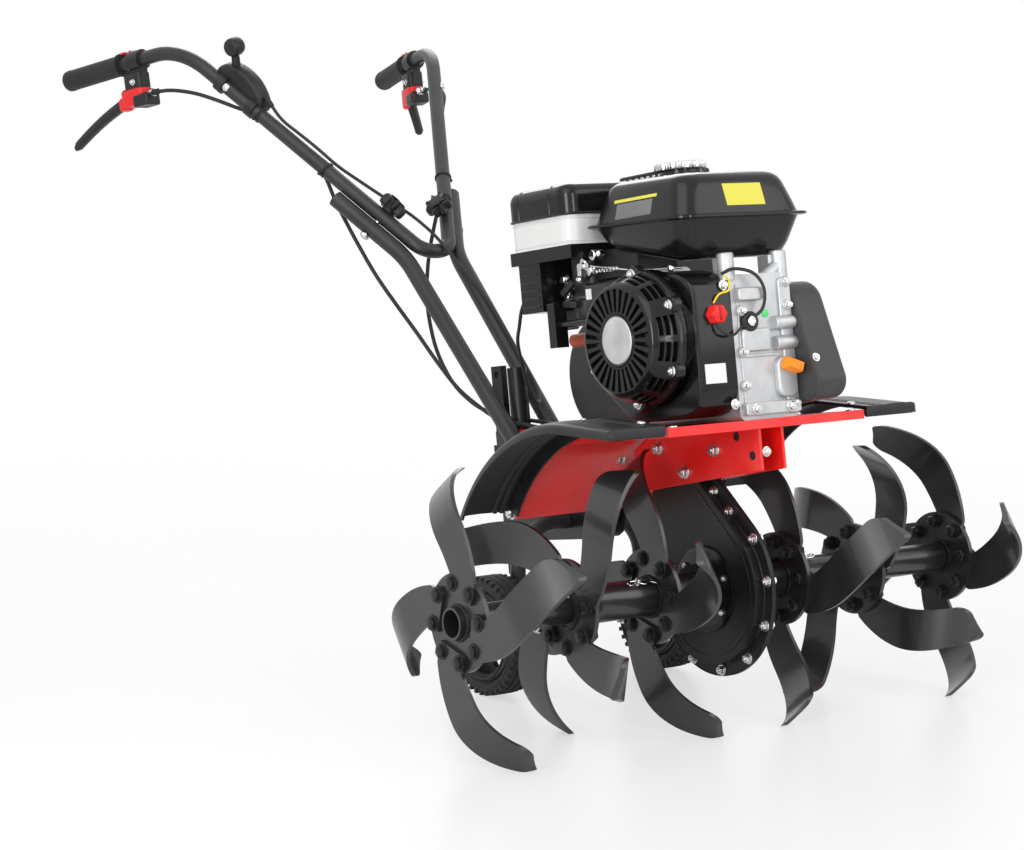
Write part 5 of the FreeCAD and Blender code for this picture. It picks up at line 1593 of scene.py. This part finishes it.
@dataclass(frozen=True)
class Handlebar:
    """Grips, clutch levers, throttle, star knobs, bolts and cable ties."""

    arm_low: Vector = field(default_factory=lambda: Vector((-592, 23.5, 508)) * MM)
    arm_top: Vector = field(default_factory=lambda: Vector((-902, 234, 864)) * MM)
    lever_tips: tuple[Vector, Vector] = field(
        default_factory=lambda: (Vector((-1174, 290, 743)) * MM, Vector((-1042, 290, 742)) * MM))
    tube: float = 11 * MM
    throttle_at: float = 394 * MM
    throttle_set: float = 14 * MM

    def build(self) -> None:
        """Build both sides, then what only the right side has."""
        for side in Side:
            self.rib_grip(side)
            self.fit_lever(side)
            self.fit_knob(side)
        self.fit_throttle()
        self.fit_ties()

    def rib_grip(self, side: Side) -> None:
        """Mould the grip's ribs and its end flange.

        Args:
            side: Which side of the machine.
        """
        middle, way = long_axis(f"grip_{side.word}", Vector((-1, 0, 0)))
        reach = max(abs((Vector(spot) - middle).dot(way)) for spot in points_of(f"grip_{side.word}"))
        start = facing(middle - way * reach, way)
        grip, length, radius = Form(), reach * 2, 17 * MM
        profile = [(12 * MM, 0), (radius + 1.5 * MM, 0), (radius + 1.5 * MM, 3 * MM), (radius - 1 * MM, 5 * MM)]
        ribs = 16
        for index in range(ribs):
            h = 9 * MM + (length - 26 * MM) * index / (ribs - 1)
            profile += [(radius - 1 * MM, h - 1.6 * MM), (radius - 0.5 * MM, h), (radius - 1 * MM, h + 1.6 * MM)]
        profile += [(radius - 0.4 * MM, length - 13 * MM), (radius, length - 8 * MM),
                    (radius - 0.6 * MM, length - 3 * MM),
                    (radius - 4 * MM, length), (5 * MM, length)]
        grip.lathe(profile, start, 40)
        grip.piece(f"ribbed_grip_{side.word}", GRIP_RUBBER, replaces=[f"grip_{side.word}"], turn=60)

    def fit_lever(self, side: Side) -> None:
        """Fit the red pivot body, the silver adjuster and the coloured strip on the lever's clamp.

        Args:
            side: Which side of the machine.
        """
        clamp = block(f"lever_clamp_{side.word}")
        lever = block(f"clutch_lever_{side.word}")
        _, way = long_axis(f"grip_{side.word}", Vector((-1, 0, 0)))
        red, silver, strip, clamps, pins = Form(), Form(), Form(), Form(), Form()
        middle = clamp.middle
        across = way.cross(Vector((0, 0, 1))).normalized()
        up = across.cross(way)
        head = Matrix((across, way, up)).transposed().to_4x4()
        head.translation = Vector((middle.x - 6 * MM, middle.y, lever.high.z - 14 * MM))
        red.pad(*mm(14, 25, 9), mm((-16, 4), (-13, 1), (-6, 0), (9, 0), (12.5, 3)),
                head @ Matrix.Translation((0, 5 * MM, 0)))
        red.pad(*mm(10, 10, 7), mm((-12, 3), (-9, 0), (6, 0), (9, 3)), head @ Matrix.Translation(mm(0, 31, -7)))
        self.bend_blade(side, head)
        clamps.pad(*mm(13, 19, 6), mm((6, 1), (8, 0), (34, 0), (36, 2)), head)
        clamps.pad(*mm(15.5, 17, 5), mm((-20, 2), (-18, 0), (-4, 0), (0, 3)),
                   head @ Matrix.Translation((0, -16 * MM, 0)))
        pins.hexagon(head @ Vector(mm(0, 6, -12)), -up, *mm(8, 3, 6))
        pins.hexagon(head @ Vector(mm(13, -4, 20)), across, *mm(7, 3, 5))
        pins.hexagon(head @ Vector(mm(-13, -4, 20)), -across, *mm(7, 3, 5))
        place = facing(head @ Vector(mm(0, -30, -1)), -way)
        silver.lathe(mm((5, -12), (5, 0), (7, 0.5), (7, 5), (5.6, 6), (5.6, 9), (4, 10), (4, 18), (2.8, 19)), place, 20)
        silver.hexagon(head @ Vector(mm(0, -31, -1)), -way, 11 * MM, 4 * MM)
        top = head @ Matrix.Translation((0, 12 * MM, clamp.high.z - head.translation.z - 1.5 * MM))
        for offset, reach, form in ((8 * MM, 8 * MM, red), (-4 * MM, 2 * MM, strip), (-9 * MM, 2 * MM, red),
                                    (-14 * MM, 2 * MM, strip)):
            form.pad(7 * MM, reach, 1.5 * MM, mm((0, 0), (3, 1)), top @ Matrix.Translation((0, offset, 0)))
        red.piece(f"lever_pivot_{side.word}", RED_PLASTIC, bevel=1.2 * MM)
        silver.piece(f"lever_adjuster_{side.word}", ZINC)
        strip.piece(f"lever_strip_{side.word}", WHITE_PLASTIC, bevel=0.5 * MM)
        clamps.piece(f"lever_housing_{side.word}", BLACK_PLASTIC, bevel=1 * MM)
        pins.piece(f"lever_screws_{side.word}", CHROME)

    def bend_blade(self, side: Side, head: Matrix) -> None:
        """Bend the clutch lever's blade from its pivot, bowed towards the grip.

        Args:
            side: Which side it is on.
            head: The pivot's frame.
        """
        blade = Form()
        tip = side.spot(*self.lever_tips[0 if side is Side.RIGHT else 1])
        root = head @ Vector(mm(0, 24, -4))
        bow = Vector((0, 0, 1)) * (tip - root).length * 0.03
        path = [root.lerp(tip, share) + bow * math.sin(math.pi * share) for share in np.linspace(0, 1, 18)]
        across = (tip - root).cross(Vector((0, 0, 1))).normalized()
        rings = []
        for index, spot in enumerate(path):
            share = index / (len(path) - 1)
            ahead = (path[min(index + 1, 17)] - path[max(index - 1, 0)]).normalized()
            up = across.cross(ahead).normalized()
            taper = 1.0 if share < 0.94 else 1 - 0.45 * (share - 0.94) / 0.06
            half_up, half_out = (9 - 1.5 * share) * MM * taper, (7 - share) * MM * taper
            rings.append([spot + across * x + up * y for x, y in rounded_box(half_out, half_up, half_out * 0.8, 4)])
        blade.skin(rings)
        blade.piece(f"lever_blade_{side.word}", BLACK_PLASTIC, replaces=[f"clutch_lever_{side.word}"])

    def fit_knob(self, side: Side) -> None:
        """Mould the star knob and the bolt head on the arm's other face.

        Args:
            side: Which side of the machine.
        """
        node = f"clamp_knob_{side.word}"
        spots = points_of(node)
        outward = (side.spot(*self.arm_top) - side.spot(*self.arm_low)).cross(Vector((0, 0, 1)))
        middle, way = self.knob_axis(spots, side)
        reach = (spots - np.array(middle)) @ np.array(way)
        place = facing(middle + way * float(reach.max()), -way)
        lobes, knob, bolt = [], Form(), Form()
        for a in turns(96):
            radius = (18.8 + 3.2 * math.cos(8 * a)) * MM
            lobes.append((radius * math.cos(a), radius * math.sin(a)))
        knob.prism(lobes, mm((0, 5), (1.4, 2.4), (4, 0.6), (8, 0), (16, 0.4), (19, 2.5)), place)
        knob.lathe(mm((12, 17), (11, 22), (9, 24)), place, 32)
        knob.lathe(mm((9, -0.2), (8, 1)), place, 24)
        span = float(reach.max() - reach.min())
        bolt.lathe([mm(4, 20), (4 * MM, span - 1 * MM)], place, 16)
        bolt.lathe([(8.5 * MM, span - 5 * MM), (8 * MM, span - 2 * MM), (5 * MM, span)], place, 24)
        knob.piece(f"star_knob_{side.word}", BLACK_PLASTIC, replaces=[node], bevel=0.5 * MM)
        bolt.piece(f"knob_bolt_{side.word}", ZINC)

    @staticmethod
    def knob_axis(spots: np.ndarray, side: Side) -> tuple[Vector, Vector]:
        """Find the knob's axis from the thin bolt's end to the wide knob's.

        Args:
            spots: The CAD knob's corners.
            side: Not used.

        Returns:
            The ends' middle and the direction toward the knob.
        """
        middle = spots.mean(0)
        way = Vector(np.linalg.svd(spots - middle, full_matrices=False)[2][0])
        along = (spots - middle) @ np.array(way)
        across = np.linalg.norm((spots - middle) - np.outer(along, np.array(way)), axis=1)
        if np.corrcoef(along, across)[0, 1] < 0:
            way.negate()
            along = -along
        return Vector(middle), way

    def fit_throttle(self) -> None:
        """Mould the throttle: a leaf-shaped housing strapped on the right arm, and its lever with a knob."""
        low, high = Side.RIGHT.spot(*self.arm_low), Side.RIGHT.spot(*self.arm_top)
        along = (high - low).normalized()
        out = (Vector((0, -1, 0)) + along * along.y).normalized()
        up = out.cross(along)
        if up.z < 0:
            up.negate()
        place = Matrix((along, up, along.cross(up))).transposed().to_4x4()
        place.translation = low + along * self.throttle_at + up * (self.tube + 1 * MM)
        housing, lever = Form(), Form()
        leaf = [(-50, -8), (-42, -14), (30, -14), (44, -10), (50, -2), (46, 10), (36, 19), (20, 25), (2, 26), (-16, 23),
                (-32, 15), (-44, 5)]
        curve = smooth_path([(*spot, 0) for spot in (*leaf, leaf[0])], 5)[:-1]
        outline = [(spot.x * MM, spot.y * MM) for spot in curve]
        inward = place @ Matrix.Translation(place.to_3x3().inverted() @ out * -self.throttle_set)
        housing.prism(outline, mm((-14, 5), (-12.5, 2), (-9, 0), (9, 0), (12.5, 2), (14, 5)), inward)
        for offset in mm(-34, 30):
            housing.lathe(mm((15, -7), (15, 7)), facing(low + along * (self.throttle_at + offset), along), 32)
        foot, tip = inward @ Vector(mm(26, 18, 0)), inward @ Vector(mm(43, 46, 0))
        lever.tube([foot, foot.lerp(tip, 0.5), tip], lambda share: (7 - 1.2 * share) * MM, 16)
        knob = facing(tip, place.to_3x3() @ Vector((0, 0, 1)))
        lever.lathe(mm((10, -12), (13, -10), (14.5, -6), (14.5, 6), (13, 10), (10, 12)), knob, 36)
        housing.piece("throttle_housing", BLACK_PLASTIC, replaces=["throttle_control"], bevel=0.8 * MM)
        lever.piece("throttle_lever", BLACK_PLASTIC, turn=50)

    def fit_ties(self) -> None:
        """Tie the cables to the arms and mark the bolts through them."""
        ties, bolts = Form(), Form()
        for side, share in ((Side.RIGHT, 0.39), (Side.LEFT, 0.34), (Side.RIGHT, 0.66)):
            low, high = side.spot(*self.arm_low), side.spot(*self.arm_top)
            spot, way = low.lerp(high, share), (high - low).normalized()
            side_way = way.orthogonal().normalized()
            up = way.cross(side_way)
            for offset in mm(-1.2, 1.2):
                path = [spot + way * offset + (side_way * math.cos(a) + up * math.sin(a)) * (self.tube + 0.7 * MM)
                        for a in turns(40)]
                ties.loop(path, 1.3 * MM, 6)
            ties.lathe(mm((3.2, 0), (3.2, 4), (2, 6)),
                       facing(spot + Vector((0, side.value, -0.3)).normalized() * self.tube, (0, side.value, -0.3)), 8)
        ties.piece("cable_ties", BLACK_PLASTIC)
        skin = Skin("upper_handle")
        for side in Side:
            hit, normal = skin.meet((-831.8 * MM + 0.1, side.value * (199.5 * MM + 0.119), 792.1 * MM + 0.017),
                                    (-0.64, -0.76 * side.value, -0.11))
            bolts.lathe(mm((6.5, -1), (6.5, 1), (5, 3), (2.5, 4)), facing(hit, normal), 20)
        bolts.piece("arm_rivets", ZINC)


@dataclass(frozen=True)
class RearFrame:
    """Bolts of the rear frame, spur and wheel bow."""

    def build(self) -> None:
        """Build the frame's fasteners."""
        bolts = Form()
        for side in Side:
            out = side.out
            for x, z in ((-420, 200), (-420, 110), (-300, 180), (-150, 180), (-120, 150)):
                bolts.hexagon((x * MM, side.value * 24 * MM, z * MM), out, *mm(13, 7, 9.5))
            axle = side.spot(*mm(*WHEEL_AXLE))
            bolts.hexagon(axle, out, *mm(13, 6, 9))
        box = block("spur_socket")
        bolts.hexagon((box.low.x + 2 * MM, 0, box.middle.z), (-1, 0, 0), *mm(10, 12, 8))
        bolts.piece("frame_bolts", ZINC, bevel=0.4 * MM)


# ---------------------------------------------------------------- studio

@dataclass(frozen=True)
class Studio:
    """The pale floor, soft lights and camera; only the eye is in millimetres."""

    eye: tuple[float, float, float] = (2763.1, -2301.1, 857.0)
    azimuth: float = 54.53
    elevation: float = 7.28
    lens: float = 96.39
    sensor: float = 36
    floor_size: float = 60
    floor_glow: float = 0.6
    fade_start: float = 0.9
    fade_end: float = 2.4
    world_light: float = 0.5
    target: tuple[float, float, float] = (0, 0, 0.45)
    lamps: tuple[tuple, ...] = (
        ("key", (1.2, -2.2, 3.0), (2.4, 2.4), 30), ("fill", (3.0, 1.8, 2.2), (2.4, 2.4), 30),
        ("back", (-2.4, 1.5, 2.6), (2.0, 2.0), 42), ("strip_right", (2.0, -2.9, 1.1), (0.9, 1.8), 44),
        ("strip_front", (3.4, -0.7, 1.2), (0.4, 1.6), 18))

    def build(self) -> None:
        """Build the floor, world, lights and camera."""
        self.lay_floor()
        self.light_world()
        for lamp in self.lamps:
            self.hang_lamp(*lamp)
        self.set_camera()
        bpy.context.scene.view_settings.view_transform = "Standard"

    def lay_floor(self) -> None:
        """Lay a floor that shows near white and keeps the machine's soft shadow."""
        half, mesh = self.floor_size / 2, bpy.data.meshes.new("floor")
        mesh.from_pydata([(-half, -half, 0), (half, -half, 0), (half, half, 0), (-half, half, 0)], [], [(0, 1, 2, 3)])
        graph = Graph(bpy.data.materials.new("floor_white"))
        graph.feed(graph.surface, {"Base Color": (0.92, 0.92, 0.92), "Roughness": 0.28})
        glow = graph.node("ShaderNodeEmission", inputs={"Color": (1, 1, 1), "Strength": 1.0})
        along, across, _ = graph.axes()
        away = (along * along + across * across).held(self.fade_start ** 2, self.fade_end ** 2)
        rays = graph.node("ShaderNodeLightPath")
        seen = Value(graph, rays.outputs["Is Camera Ray"]) * (away * (1 - self.floor_glow) + self.floor_glow)
        self.blend(graph, seen, glow)
        mesh.materials.append(graph.owner)
        linked("floor", mesh)

    def light_world(self) -> None:
        """Light the world evenly and show it white to the camera."""
        world = bpy.data.worlds.new("studio")
        bpy.context.scene.world = world
        graph = Graph(world, "ShaderNodeBackground", "ShaderNodeOutputWorld")
        graph.feed(graph.surface, {"Color": (1, 1, 1), "Strength": self.world_light})
        white = graph.node("ShaderNodeBackground", inputs={"Color": (1, 1, 1), "Strength": 1.0})
        rays = graph.node("ShaderNodeLightPath")
        seen = Value(graph, rays.outputs["Is Camera Ray"])
        self.blend(graph, seen.math("MAXIMUM", seen, Value(graph, rays.outputs["Is Glossy Ray"])), white)

    @staticmethod
    def blend(graph: Graph, share: Value, shader: bpy.types.Node) -> None:
        """Show a second shader in place of a graph's own where share is 1."""
        mixed = graph.node("ShaderNodeMixShader", inputs={0: share, 1: graph.surface.outputs[0], 2: shader.outputs[0]})
        graph.feed(graph.output, {"Surface": mixed.outputs[0]})

    def hang_lamp(self, name: str, spot: Spot, size: tuple[float, float], power: float) -> None:
        """Hang a soft lamp that faces the machine.

        Args:
            name: The lamp's name.
            spot: Its place.
            size: Its width and height.
            power: Its power in watts.
        """
        data = bpy.data.lights.new(name, "AREA")
        data.shape = "RECTANGLE"
        data.size, data.size_y = size
        data.energy = power
        lamp = linked(name, data)
        lamp.location = spot
        lamp.rotation_euler = (Vector(self.target) - Vector(spot)).to_track_quat("-Z", "Y").to_euler()

    def set_camera(self) -> None:
        """Stand the camera at its place, off to the right and in front of the machine."""
        data = bpy.data.cameras.new("camera")
        data.lens, data.sensor_width = self.lens, self.sensor
        camera = linked("camera", data)
        camera.location = Vector(self.eye) * MM + Vector((joint_spot("tine_rotor_spin").x, 0, 0))
        camera.rotation_euler = (math.radians(90 - self.elevation), 0, math.radians(self.azimuth))
        bpy.context.scene.camera = camera


# ---------------------------------------------------------------- the whole machine


def main() -> None:
    """Build the studio and dress the machine, one sub-assembly after another."""
    Studio().build()
    dress_nodes()
    for group in (TineRotor(), ChainCase(), Wheel(Side.RIGHT), Wheel(Side.LEFT), Chassis(), Fender(Side.RIGHT),
                  Fender(Side.LEFT), RearFrame(), RecoilStarter(), FanHousing(), Crankcase(), Cylinder(), FuelTank(),
                  AirCleaner(), Muffler(), BeltCover(), Handlebar()):
        known = set(bpy.data.objects)
        group.build()
        LOG.info("%s: %s", type(group).__name__, ", ".join(sorted(made.name for made in set(bpy.data.objects) - known)))


if __name__ == "__main__":
    main()
